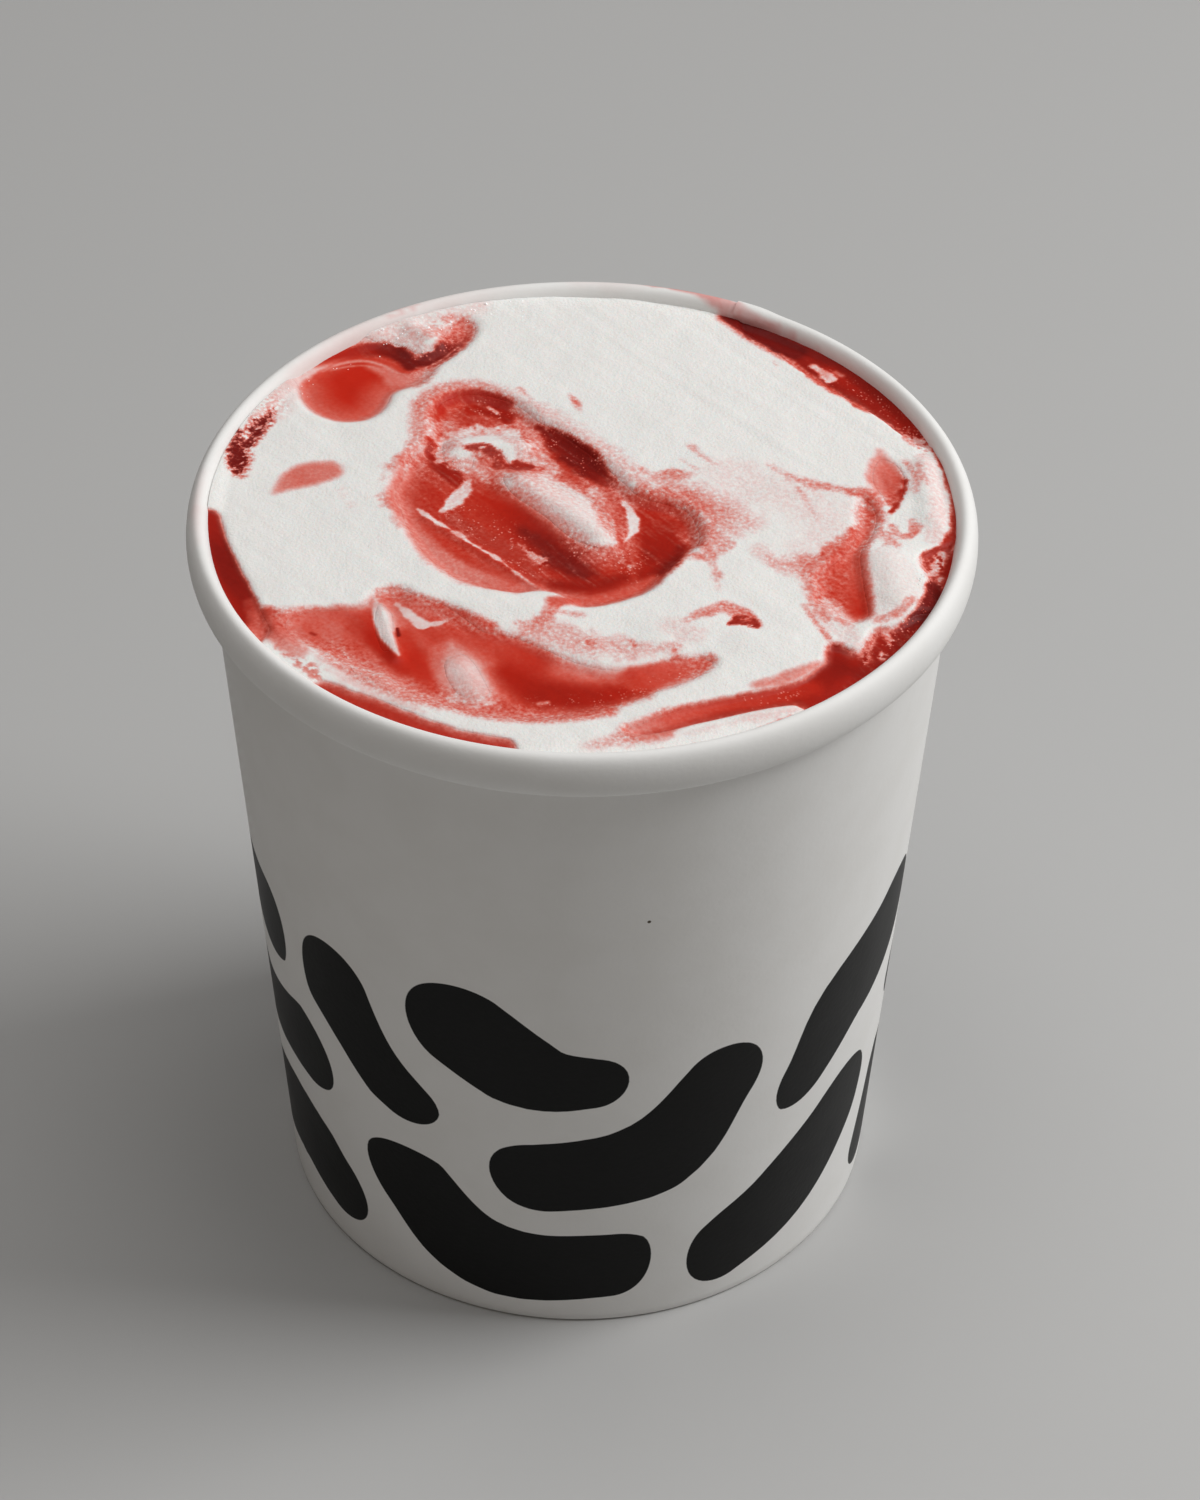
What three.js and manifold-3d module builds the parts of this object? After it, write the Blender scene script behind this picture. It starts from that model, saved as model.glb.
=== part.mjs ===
// A quart paper tub, full of vanilla ice cream with a red fruit ripple.
//
// Millimetres. The tub stands on Z = 0 with its axis on Z; X points right and Y away from the front.
// The sidewall is one strip of paperboard: folded up inside at the foot, lapped along a side seam and
// rolled outwards at the rim. The base disc hangs between the wall and its fold. The ice cream fills the
// tub almost to the rim, and the ripple lies in pockets of its top.

import * as THREE from 'three';
import { mergeVertices } from 'three/addons/utils/BufferGeometryUtils.js';
import Module from 'manifold-3d';

// ---- Driving dimensions ------------------------------------------------------------------------------

const HEIGHT = 125.6;             // foot to the top of the rolled rim
const RIM_RADIUS = 58.5;          // outside of the rolled rim
const BASE_RADIUS = 46.25;        // outside of the foot
const PAPER = 0.5;                // thickness of the paperboard
const ROLL_HALF_WIDTH = 1.8;      // the rolled rim is an upright oval
const ROLL_HALF_HEIGHT = 3.73;
const ROLL_END_DEG = -120;        // where the roll's free edge stops, under the oval
const ROLL_STEP_DEG = 30;
const BASE_RECESS = 6.5;          // underside of the base disc above the table
const FOOT_FOLD = 5.2;            // height of the wall's fold inside the foot
const GAP = 0.3;                  // clearance between touching pieces
const SEAM_DEG = 65.2;            // free edge of the lapped side seam, seen from above
const SEAM_LAP = 8;               // width of the lap
const SEAM_SUNK = 0.1;            // how far the lap is sunk into the layer below to join it
const ROLL_LAP = 0.3;             // what the lap adds to the roll, where it is crushed
const CREAM_DROP = 1.53;          // the ice cream's level below the top of the rim
const ROUND_STEPS = 60;           // facets round the paper pieces
const CREAM_STEPS = 72;           // facets round the ice cream
const CREAM_RINGS = 17;           // rings of facets across the ice cream's top
const EDGE_STEP = 2.6;            // length of a facet along a ripple's outline

const ROLL_RADIUS = RIM_RADIUS - ROLL_HALF_WIDTH;      // the oval's centre
const ROLL_Z = HEIGHT - ROLL_HALF_HEIGHT;
const WALL_TOP = ROLL_RADIUS - ROLL_HALF_WIDTH + PAPER / 2;   // middle of the wall where the roll begins
const WALL_FOOT = BASE_RADIUS - PAPER / 2;             // middle of the wall at the foot
const LEVEL = HEIGHT - CREAM_DROP;
const CREAM_BOTTOM = BASE_RECESS + PAPER + GAP;

// ---- Colours -----------------------------------------------------------------------------------------

const FINISH = {
  paper: new THREE.MeshStandardMaterial({ color: 0xe9e6df, roughness: 0.75, metalness: 0 }),
  cream: new THREE.MeshStandardMaterial({ color: 0xf3f0ea, roughness: 0.6, metalness: 0 }),
  ripple: new THREE.MeshStandardMaterial({ color: 0xb2301f, roughness: 0.35, metalness: 0 }),
};

// ---- The ripple: what shows of it in the top ---------------------------------------------------------

// Each pocket has an outline in plan, passed through by a smooth closed curve. An outline that runs past
// the wall is cut off by it. sink is how far the surface dips there, depth how far the ripple goes down,
// and an island is ice cream that stands up through the ripple.
const POCKETS = {
  ripple_back_left_pool: {
    sink: 1.0, depth: 6,
    outline: [[-43.5, 31], [-42.3, 36.3], [-38.6, 39.8], [-34, 42], [-30.2, 43.2], [-27.4, 41.6],
      [-24.8, 40.3], [-22.4, 42.6], [-21.4, 46.4], [-19.2, 49.2], [-16.9, 48.2], [-17.1, 44.4],
      [-19.4, 40.6], [-22.6, 36.6], [-25, 32.6], [-28.8, 30], [-30.2, 25.8], [-33.4, 22.8],
      [-38, 23], [-41.8, 26.2]],
    islands: [],
  },
  ripple_left_edge: {
    sink: 0.6, depth: 7,
    outline: [[-54.7, 1.4], [-53.2, -2], [-51.6, -8], [-49.4, -14], [-47.3, -19.4], [-46, -23.5],
      [-44.6, -28], [-45, -32], [-50, -31], [-56, -21], [-59, -9], [-58, 0]],
    islands: [],
  },
  ripple_front_edge: {
    sink: 0.5, depth: 6,
    outline: [[-37, -38.8], [-33, -40.6], [-28.5, -42.9], [-24, -45.6], [-19.5, -48.2], [-15.2, -50],
      [-11.6, -51], [-8, -53.2], [-9, -57], [-20, -57], [-32, -50], [-39, -43]],
    islands: [],
  },
  ripple_front_wave: {
    sink: 0.9, depth: 5,
    outline: [[-42.8, -26.4], [-40.2, -23.4], [-36, -22.6], [-32, -22], [-29.8, -19.4], [-27.2, -17.2],
      [-24, -19.6], [-19.6, -22], [-16.6, -24.6], [-14, -27.4], [-9.4, -28.8], [-5.4, -31.2],
      [-1, -34], [4, -35.8], [9, -35], [13.4, -33.2], [18.4, -33.2], [18.8, -35], [15, -38.4],
      [9, -41.6], [3, -44.4], [-3, -46.4], [-9, -47], [-15, -45.8], [-20.4, -43.6], [-24.6, -41],
      [-28, -37.6], [-33, -35.2], [-37, -32.4], [-41, -29.6]],
    islands: [
      [[-29.2, -21.6], [-27.9, -22.4], [-27.2, -26.6], [-26.2, -31], [-27.6, -31.8], [-29.4, -27.4]],
      [[-19.2, -34], [-16.8, -32.6], [-15, -35.6], [-13.6, -39.6], [-13.4, -42.4], [-16.6, -41.8],
        [-18.6, -38.4]],
    ],
  },
  ripple_centre_swirl: {
    sink: 1.5, depth: 6,
    outline: [[-22.6, 25.6], [-20.8, 29], [-17, 30.4], [-13, 29.4], [-9.6, 27.2], [-6.8, 23.6],
      [-3.6, 20.8], [0, 16.8], [3, 12.8], [6, 8.6], [8.8, 4.8], [12.4, 3.4], [15.6, 1.4], [17, -2.4],
      [17.2, -6.4], [14.6, -9.2], [12.4, -13], [9.6, -17.4], [5.2, -20], [0, -21.4], [-2.8, -18.8],
      [-5.6, -17.6], [-9, -18.2], [-14, -17.2], [-18.8, -14.4], [-22.6, -10], [-25.4, -4.4],
      [-27, 1], [-28, 5.4], [-26.8, 10], [-25.6, 14.6], [-23, 17.6], [-22.8, 21.6]],
    islands: [
      [[-20.8, 18.6], [-16.6, 20.4], [-12.2, 20.6], [-9.2, 17.8], [-8, 13.6], [-9.8, 12.4],
        [-12.6, 15.8], [-16, 15.6], [-17.4, 11.6], [-19.8, 12.6]],
      [[-11.6, 9.8], [-7.6, 9.4], [-3, 7.4], [1, 4.6], [3.4, 0.4], [4.6, -4.4], [3.8, -7.6],
        [1.2, -7], [-2, -4.4], [-5, -0.6], [-8.4, 3.2], [-11.2, 6.8]],
    ],
  },
  ripple_back_right_edge: {
    sink: 1.4, depth: 9,
    outline: [[19.6, 53], [21.6, 50], [26, 45.4], [30, 40.6], [33, 36.8], [36.4, 32.8], [40.4, 29],
      [44.6, 24.8], [47.4, 21], [50, 18], [52.4, 15.8], [57, 17], [57, 26], [50, 38], [38, 50],
      [25, 57]],
    islands: [],
  },
  ripple_right_edge: {
    sink: 1.0, depth: 7,
    outline: [[54, -5], [52.4, -7.4], [49.4, -8.8], [49.6, -12], [50.6, -15.4], [50.2, -19.2],
      [48.4, -22.6], [45.2, -25.2], [41.8, -26.6], [40.6, -29.2], [38.4, -31.2], [35.8, -29.2],
      [35.2, -32], [33.2, -35.2], [30.6, -38], [26, -40.2], [21, -41.8], [15.4, -43.8], [10, -46.6],
      [6, -49.4], [10, -50], [16, -47.8], [22, -45.6], [28, -43.8], [33, -43.6], [38, -46],
      [50, -35], [58, -18], [60, -6]],
    islands: [],
  },
  ripple_right_pool: {
    sink: 0.8, depth: 5,
    outline: [[41.6, 4.6], [43.4, 1.4], [43, -3.4], [40.9, -8.6], [40.9, -14], [41.2, -19],
      [41.4, -23], [39.6, -24.9], [37.6, -23.8], [36.4, -21.6], [34.2, -20], [34.4, -17.2],
      [34.2, -14.2], [36.6, -11.2], [39.2, -7], [40.4, -3], [40.4, 1]],
    islands: [],
  },
  ripple_right_spot: {
    sink: 0.5, depth: 4,
    outline: [[44.6, 14.2], [46.8, 13], [48, 9.6], [47.6, 5.4], [46, 2], [44.8, 4], [43.4, 7.2],
      [43.2, 11]],
    islands: [],
  },
};
const SINK_SOFT = 1.6;            // how gently the surface dips into a pocket

// Ridges of ice cream raised by the spatula, each a soft bar from one point to another.
const RIDGES = [
  { from: [-9, 8], to: [2.6, -5], width: 4.2, rise: 2.2 },        // the long fold in the centre
  { from: [-18.5, 17.5], to: [-9.5, 17.5], width: 3.0, rise: 1.5 },
  { from: [-23, 0], to: [-6, -16.5], width: 1.4, rise: 0.9 },     // the crest line of the swirl
  { from: [-29, -21.5], to: [-26.3, -33], width: 1.5, rise: 1.1 },
  { from: [-17.6, -34.5], to: [-14.8, -41.5], width: 2.4, rise: 1.0 },
  { from: [44.2, -11], to: [46, -20], width: 4.2, rise: 0.9 },    // the block by the right edge
  { from: [51, 12], to: [51.6, -1], width: 2.6, rise: 0.7 },
  { from: [-26.5, 45.5], to: [-22.4, 42.6], width: 2.2, rise: 1.1 },   // the clump over the crevice
  { from: [-5, -22.5], to: [-24, -21], width: 3.2, rise: 0.5 },
  { from: [12, -27], to: [29, -29], width: 6, rise: 0.4 },
];
const EDGE_DROP = 0.35;           // the ice cream sinks a little towards the wall
const EDGE_BAND = 4;

// ---- Plan curves -------------------------------------------------------------------------------------

/** Even points on the smooth closed curve through an outline, anticlockwise. */
function trace(outline) {
  const curve = new THREE.CatmullRomCurve3(
    outline.map(([x, y]) => new THREE.Vector3(x, y, 0)), true, 'centripetal');
  const count = Math.max(outline.length, Math.round(curve.getLength() / EDGE_STEP));
  const points = curve.getSpacedPoints(count).slice(0, count).map((p) => new THREE.Vector2(p.x, p.y));
  return THREE.ShapeUtils.area(points) < 0 ? points.reverse() : points;
}

/** The outline moved inwards by a distance, or outwards by a negative one. */
function inset(points, distance) {
  const count = points.length;
  return points.map((point, i) => {
    const along = points[(i + 1) % count].clone().sub(points[(i + count - 1) % count]).normalize();
    return new THREE.Vector2(point.x - along.y * distance, point.y + along.x * distance);
  });
}

/** Distance from a spot to a polygon's edge, positive inside. */
function depthInside(points, x, y) {
  let nearest = Infinity;
  let inside = false;
  for (let i = 0, j = points.length - 1; i < points.length; j = i, i += 1) {
    const [a, b] = [points[j], points[i]];
    const [dx, dy] = [b.x - a.x, b.y - a.y];
    const t = THREE.MathUtils.clamp(((x - a.x) * dx + (y - a.y) * dy) / (dx * dx + dy * dy), 0, 1);
    nearest = Math.min(nearest, Math.hypot(x - a.x - t * dx, y - a.y - t * dy));
    if ((a.y > y) !== (b.y > y) && x < a.x + (y - a.y) / dy * dx) inside = !inside;
  }
  return inside ? nearest : -nearest;
}

const pockets = Object.entries(POCKETS).map(([name, pocket]) => (
  { name, ...pocket, edge: trace(pocket.outline), holes: pocket.islands.map(trace) }));

/** Height of the ice cream's surface at a spot in plan. */
function surface(x, y) {
  let z = LEVEL;
  for (const pocket of pockets) {
    const reach = depthInside(pocket.edge, x, y);
    z -= pocket.sink * THREE.MathUtils.smoothstep(reach, -SINK_SOFT, SINK_SOFT);
  }
  for (const { from, to, width, rise } of RIDGES) {
    const [dx, dy] = [to[0] - from[0], to[1] - from[1]];
    const t = THREE.MathUtils.clamp(((x - from[0]) * dx + (y - from[1]) * dy) / (dx * dx + dy * dy), 0, 1);
    const away = Math.hypot(x - from[0] - t * dx, y - from[1] - t * dy);
    z += rise * Math.exp(-((away / width) ** 2) * 2);
  }
  const toWall = wallInside(LEVEL) - Math.hypot(x, y);
  z -= EDGE_DROP * (1 - THREE.MathUtils.smoothstep(toWall, 0, EDGE_BAND));
  return z;
}

// ---- Profiles ----------------------------------------------------------------------------------------

/** Radius of the wall's inner face at a height. */
function wallInside(z) {
  return WALL_FOOT + (WALL_TOP - WALL_FOOT) * z / ROLL_Z - PAPER / 2;
}

/** Middle line of the paperboard from the foot, up the wall and round the rolled rim. */
function wallPath() {
  const path = [new THREE.Vector2(WALL_FOOT, PAPER / 2)];
  for (let deg = 180; deg >= ROLL_END_DEG; deg -= ROLL_STEP_DEG) {
    const angle = THREE.MathUtils.degToRad(deg);
    path.push(new THREE.Vector2(
      ROLL_RADIUS + (ROLL_HALF_WIDTH - PAPER / 2) * Math.cos(angle),
      ROLL_Z + (ROLL_HALF_HEIGHT - PAPER / 2) * Math.sin(angle)));
  }
  return path;
}

/** A path moved to its left by a distance, with mitred corners. */
function shift(path, distance) {
  return path.map((point, i) => {
    const before = point.clone().sub(path[Math.max(i - 1, 0)]).normalize();
    const after = path[Math.min(i + 1, path.length - 1)].clone().sub(point).normalize();
    const along = before.add(after).normalize();
    const ahead = i < path.length - 1 ? path[i + 1].clone().sub(point) : point.clone().sub(path[i - 1]);
    const mitre = distance / Math.max(along.dot(ahead.normalize()), 0.5);
    return new THREE.Vector2(point.x - along.y * mitre, point.y + along.x * mitre);
  });
}

/** Closed profile of a strip that follows a path between two distances to its left. */
function strip(path, low, high) {
  const loop = [...shift(path, low), ...shift(path, high).reverse()];
  return [...loop, loop[0].clone()];
}

// ---- Solids ------------------------------------------------------------------------------------------

const wasm = await Module();
wasm.setup();

/** A closed geometry as a solid that can be cut and joined. */
function toSolid(geometry) {
  const bare = geometry.clone();
  bare.deleteAttribute('normal');
  bare.deleteAttribute('uv');
  const merged = mergeVertices(bare, 1e-4);
  return new wasm.Manifold(new wasm.Mesh({
    numProp: 3,
    vertProperties: new Float32Array(merged.attributes.position.array),
    triVerts: new Uint32Array(merged.index.array),
  }));
}

/** A solid as a geometry again. */
function toGeometry(solid) {
  const { vertProperties, triVerts } = solid.getMesh();
  const geometry = new THREE.BufferGeometry();
  geometry.setAttribute('position', new THREE.BufferAttribute(vertProperties, 3));
  geometry.setIndex(new THREE.BufferAttribute(triVerts, 1));
  return geometry;
}

/** A profile of (radius, height) turned about Z. */
function turned(profile, steps) {
  return new THREE.LatheGeometry(profile, steps).rotateX(Math.PI / 2);
}

/** An upright prism over a plan outline, with upright holes. */
function prism(outline, holes, low, high) {
  const shape = new THREE.Shape(outline);
  shape.holes = holes.map((hole) => new THREE.Path(hole));
  const geometry = new THREE.ExtrudeGeometry(shape, { depth: high - low, bevelEnabled: false });
  return geometry.translate(0, 0, low);
}

/** The sidewall: fold, wall and rolled rim in one strip, doubled along the seam. */
function buildSidewall() {
  const foldRadius = BASE_RADIUS - 3 * PAPER - 2 * GAP;
  const fold = [new THREE.Vector2(foldRadius, FOOT_FOLD), new THREE.Vector2(foldRadius, PAPER / 2)];
  const path = wallPath();
  const wall = toSolid(turned(strip([...fold, ...path], -PAPER / 2, PAPER / 2), ROUND_STEPS));

  // The lap shows on the outside of the wall and, from above the ice cream outwards, on the roll.
  const under = ROLL_Z - ROLL_HALF_HEIGHT - GAP;
  const pathIndex = (deg) => 1 + (180 - deg) / ROLL_STEP_DEG;
  const wallLap = strip([path[0].clone().setY(GAP), new THREE.Vector2(wallInside(under) + PAPER / 2, under)],
    -PAPER * 1.5, SEAM_SUNK - PAPER / 2);
  const rollLap = strip(path.slice(pathIndex(120), pathIndex(-30) + 1),
    PAPER / 2 - SEAM_SUNK, PAPER / 2 + ROLL_LAP);
  const lapAngle = SEAM_LAP / WALL_TOP;
  const seam = THREE.MathUtils.degToRad(SEAM_DEG);
  const [first, last] = [seam - lapAngle, seam].map((angle) => (
    new THREE.Vector2(2 * RIM_RADIUS * Math.cos(angle), 2 * RIM_RADIUS * Math.sin(angle))));
  const sector = toSolid(prism([new THREE.Vector2(0, 0), first, last], [], 0, 2 * HEIGHT));
  const laps = [wallLap, rollLap].map((profile) => toSolid(turned(profile, ROUND_STEPS)).intersect(sector));
  return toGeometry(wall.add(laps[0]).add(laps[1]));
}

/** The base disc with its rim turned down between the wall and the fold. */
function buildBase() {
  const middle = BASE_RECESS + PAPER / 2;
  const flange = BASE_RADIUS - PAPER - GAP - PAPER / 2;
  const path = [new THREE.Vector2(0, middle), new THREE.Vector2(flange, middle),
    new THREE.Vector2(flange, PAPER + 2 * GAP)];
  const upper = shift(path, PAPER / 2);
  const lower = shift(path, -PAPER / 2);
  upper[0].x = 0;
  lower[0].x = 0;
  return turned([...lower, ...upper.reverse()], ROUND_STEPS);
}

/** The whole filling, ice cream and ripple together, with the relief of its top. */
function buildFilling() {
  const rim = wallInside(LEVEL) - GAP;
  const profile = [new THREE.Vector2(0, CREAM_BOTTOM),
    new THREE.Vector2(wallInside(CREAM_BOTTOM) - GAP, CREAM_BOTTOM)];
  for (let i = 0; i <= CREAM_RINGS; i += 1) {
    profile.push(new THREE.Vector2(rim * (1 - i / CREAM_RINGS), LEVEL));
  }
  const geometry = turned(profile, CREAM_STEPS);
  const position = geometry.attributes.position;
  for (let i = 0; i < position.count; i += 1) {
    if (position.getZ(i) > LEVEL / 2) {
      position.setZ(i, surface(position.getX(i), position.getY(i)));
    }
  }
  return toSolid(geometry);
}

/** The ice cream with its pockets, and the ripple solids that lie in them. */
function buildContents() {
  const filling = buildFilling();
  const top = HEIGHT + 5;
  let cream = filling;
  const ripples = {};
  for (const { name, depth, edge, holes } of pockets) {
    const floor = LEVEL - depth;
    const ripple = prism(inset(edge, GAP / 2), holes.map((hole) => inset(hole, -GAP / 2)), floor, top);
    const room = prism(inset(edge, -GAP / 2), holes.map((hole) => inset(hole, GAP / 2)), floor - GAP, top);
    ripples[name] = toGeometry(filling.intersect(toSolid(ripple)));
    cream = cream.subtract(toSolid(room));
  }
  return { cream: toGeometry(cream), ripples };
}

// ---- The object --------------------------------------------------------------------------------------

const group = new THREE.Group();

function place(name, geometry, material) {
  const mesh = new THREE.Mesh(geometry, material);
  mesh.name = name;
  group.add(mesh);
}

const contents = buildContents();
place('cup_sidewall', buildSidewall(), FINISH.paper);
place('cup_base', buildBase(), FINISH.paper);
place('ice_cream', contents.cream, FINISH.cream);
for (const [name, geometry] of Object.entries(contents.ripples)) place(name, geometry, FINISH.ripple);

export default group;
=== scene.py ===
"""A quart paper tub, full of vanilla ice cream with a red fruit ripple, in plain studio light.

The tub stands on Z = 0 with its axis on Z; X points right and Y away from the front. Sizes are in
millimetres and become metres where a mesh is made. The top of the ice cream is worked out in plan: its
height, how much sauce shows at a spot, how dark that sauce is and how frosted.
"""

import logging
import math
from dataclasses import dataclass
from enum import Enum
from typing import Any, Iterable, Sequence

import bmesh
import bpy
import numpy as np
from mathutils import Matrix, Vector


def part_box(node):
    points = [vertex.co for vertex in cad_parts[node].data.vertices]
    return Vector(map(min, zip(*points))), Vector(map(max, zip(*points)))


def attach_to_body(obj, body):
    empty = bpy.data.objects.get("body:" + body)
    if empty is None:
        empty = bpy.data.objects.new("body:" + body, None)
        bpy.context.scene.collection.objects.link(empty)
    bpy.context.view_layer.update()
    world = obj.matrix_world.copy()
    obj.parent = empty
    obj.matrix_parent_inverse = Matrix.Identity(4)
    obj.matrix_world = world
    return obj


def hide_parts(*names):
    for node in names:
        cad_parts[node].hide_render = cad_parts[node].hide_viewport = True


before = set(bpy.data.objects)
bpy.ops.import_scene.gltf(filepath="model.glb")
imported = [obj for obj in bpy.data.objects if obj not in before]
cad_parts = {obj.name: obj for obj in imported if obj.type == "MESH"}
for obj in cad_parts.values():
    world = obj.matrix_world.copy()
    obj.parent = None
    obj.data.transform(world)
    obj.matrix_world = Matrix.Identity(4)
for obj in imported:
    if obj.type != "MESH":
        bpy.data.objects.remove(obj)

MM = 0.001
BODY = "root"

Array = np.ndarray
Point = tuple[float, float]
Spread = float | tuple[float, ...]
Operand = Any

log = logging.getLogger("ice cream tub")


class Slot(Enum):
    """The record's material slots."""

    PAPERBOARD = "paperboard"
    ICE_CREAM = "ice_cream"
    FRUIT_RIPPLE = "fruit_ripple"


# ---- Plan geometry -----------------------------------------------------------------------------------


def smoothstep(low: float, high: float, value: Array) -> Array:
    """A smooth rise from 0 at low to 1 at high."""
    t = np.clip((value - low) / (high - low), 0.0, 1.0)
    return t * t * (3.0 - 2.0 * t)


def smooth_min(first: Array, second: Array, blend: float) -> Array:
    """The smaller of two fields, rounded where they meet."""
    h = np.clip(0.5 + 0.5 * (second - first) / blend, 0.0, 1.0)
    return second + (first - second) * h - blend * h * (1.0 - h)


def spread(values: Spread, along: Array) -> Array:
    """A value, or several spaced evenly along a path, at each place along it."""
    levels = np.atleast_1d(np.asarray(values, float))
    return np.interp(along, np.linspace(0.0, 1.0, len(levels)), levels)


def smooth_curve(points: Sequence[Point], closed: bool, per_span: int = 6) -> Array:
    """Points on the centripetal Catmull-Rom curve through some points.

    Args:
        points: What the curve passes through.
        closed: Whether it runs back to its start.
        per_span: Points made for each span.

    Returns:
        An array of points. A closed curve ends where it starts.
    """
    knots = np.asarray(points, float)
    if closed:
        knots = np.vstack([knots[-1:], knots, knots[:2]])
    else:
        knots = np.vstack([2 * knots[:1] - knots[1:2], knots, 2 * knots[-1:] - knots[-2:-1]])
    made = []
    for a, b, c, d in zip(knots, knots[1:], knots[2:], knots[3:]):
        t1 = np.sqrt(np.linalg.norm(b - a))
        t2 = t1 + np.sqrt(np.linalg.norm(c - b))
        t3 = t2 + np.sqrt(np.linalg.norm(d - c))
        t = np.linspace(t1, t2, per_span, endpoint=False)[:, None]
        ab = ((t1 - t) * a + t * b) / t1
        bc = ((t2 - t) * b + (t - t1) * c) / (t2 - t1)
        cd = ((t3 - t) * c + (t - t2) * d) / (t3 - t2)
        abc = ((t2 - t) * ab + t * bc) / t2
        bcd = ((t3 - t) * bc + (t - t1) * cd) / (t3 - t1)
        made.append(((t2 - t) * abc + (t - t1) * bcd) / (t2 - t1))
    made.append(knots[-2:-1])
    return np.vstack(made)


def through(points: Sequence[Point]) -> Array:
    """The smooth path through some points, or the straight one between two."""
    return smooth_curve(points, closed=False) if len(points) > 2 else np.asarray(points, float)


def reach(path: Array, x: Array, y: Array) -> tuple[Array, Array]:
    """How far spots in plan are from a path.

    Args:
        path: Points on the path.
        x: Spots, to the right.
        y: Spots, away from the front.

    Returns:
        The distance of each spot, and how far along the path its nearest point lies, from 0 to 1.
    """
    steps = np.diff(path, axis=0)
    lengths = np.maximum(np.hypot(steps[:, 0], steps[:, 1]), 1e-9)
    starts = np.concatenate([[0.0], np.cumsum(lengths)])
    best = np.full(x.shape, np.inf)
    along = np.zeros(x.shape)
    for (ax, ay), (dx, dy), length, start in zip(path, steps, lengths, starts):
        t = np.clip(((x - ax) * dx + (y - ay) * dy) / length**2, 0.0, 1.0)
        away = np.hypot(x - ax - t * dx, y - ay - t * dy)
        near = away < best
        best[near] = away[near]
        along[near] = (start + t[near] * length) / starts[-1]
    return best, along


@dataclass(frozen=True)
class Grain:
    """Smooth seeded noise in plan, from -1 to 1, which may be drawn out along one direction.

    Attributes:
        seed: Start of the random draw.
        cell: Size of a bump.
        stretch: How many times longer a bump is than wide.
        turn_deg: Direction of its length, anticlockwise from X.
        octaves: Layers, each half as large and as strong as the one before.
    """

    seed: int
    cell: float
    stretch: float = 1.0
    turn_deg: float = 0.0
    octaves: int = 1

    SIDE = 256

    def at(self, x: Array, y: Array) -> Array:
        """The noise at spots in plan."""
        lattice = np.random.default_rng(self.seed).uniform(-1.0, 1.0, (self.SIDE, self.SIDE))
        turn = math.radians(self.turn_deg)
        along = (x * math.cos(turn) + y * math.sin(turn)) / (self.cell * self.stretch)
        across = (y * math.cos(turn) - x * math.sin(turn)) / self.cell
        total = np.zeros(x.shape)
        strength = 1.0
        for octave in range(self.octaves):
            u = along * 2**octave + 17.3 * octave
            v = across * 2**octave + 9.7 * octave
            i, j = np.floor(u).astype(int), np.floor(v).astype(int)
            fu, fv = smoothstep(0.0, 1.0, u - i), smoothstep(0.0, 1.0, v - j)
            corner = [[lattice[(i + di) % self.SIDE, (j + dj) % self.SIDE] for dj in (0, 1)] for di in (0, 1)]
            left = corner[0][0] * (1 - fv) + corner[0][1] * fv
            right = corner[1][0] * (1 - fv) + corner[1][1] * fv
            total += strength * (left * (1 - fu) + right * fu)
            strength *= 0.5
        return total


@dataclass(frozen=True)
class Outline:
    """A smooth closed curve in plan.

    Attributes:
        path: Points on it, the first one repeated at the end.
        margin: How far out from it distances are worked out; past that they are just far.
    """

    path: Array
    margin: float = 6.0

    FAR = -99.0

    def nearest(self, x: float, y: float) -> Point:
        """The point of the curve nearest to a spot."""
        a, d = self.path[:-1], np.diff(self.path, axis=0)
        t = np.clip(((x - a[:, 0]) * d[:, 0] + (y - a[:, 1]) * d[:, 1]) / (d**2).sum(1), 0.0, 1.0)
        spots = a + t[:, None] * d
        pick = np.argmin(np.hypot(spots[:, 0] - x, spots[:, 1] - y))
        return tuple(spots[pick])

    def depth(self, x: Array, y: Array) -> Array:
        """Distance of spots from the curve, positive inside."""
        low, high = self.path.min(0) - self.margin, self.path.max(0) + self.margin
        close = (x > low[0]) & (x < high[0]) & (y > low[1]) & (y < high[1])
        depth = np.full(x.shape, self.FAR)
        px, py = x[close], y[close]
        away, _ = reach(self.path, px, py)
        inside = np.zeros(px.shape, bool)
        for (ax, ay), (bx, by) in zip(self.path, self.path[1:]):
            if ay != by:
                inside ^= ((ay > py) != (by > py)) & (px < ax + (py - ay) / (by - ay) * (bx - ax))
        depth[close] = np.where(inside, away, -away)
        return depth


# ---- Sizes of the tub --------------------------------------------------------------------------------


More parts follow.
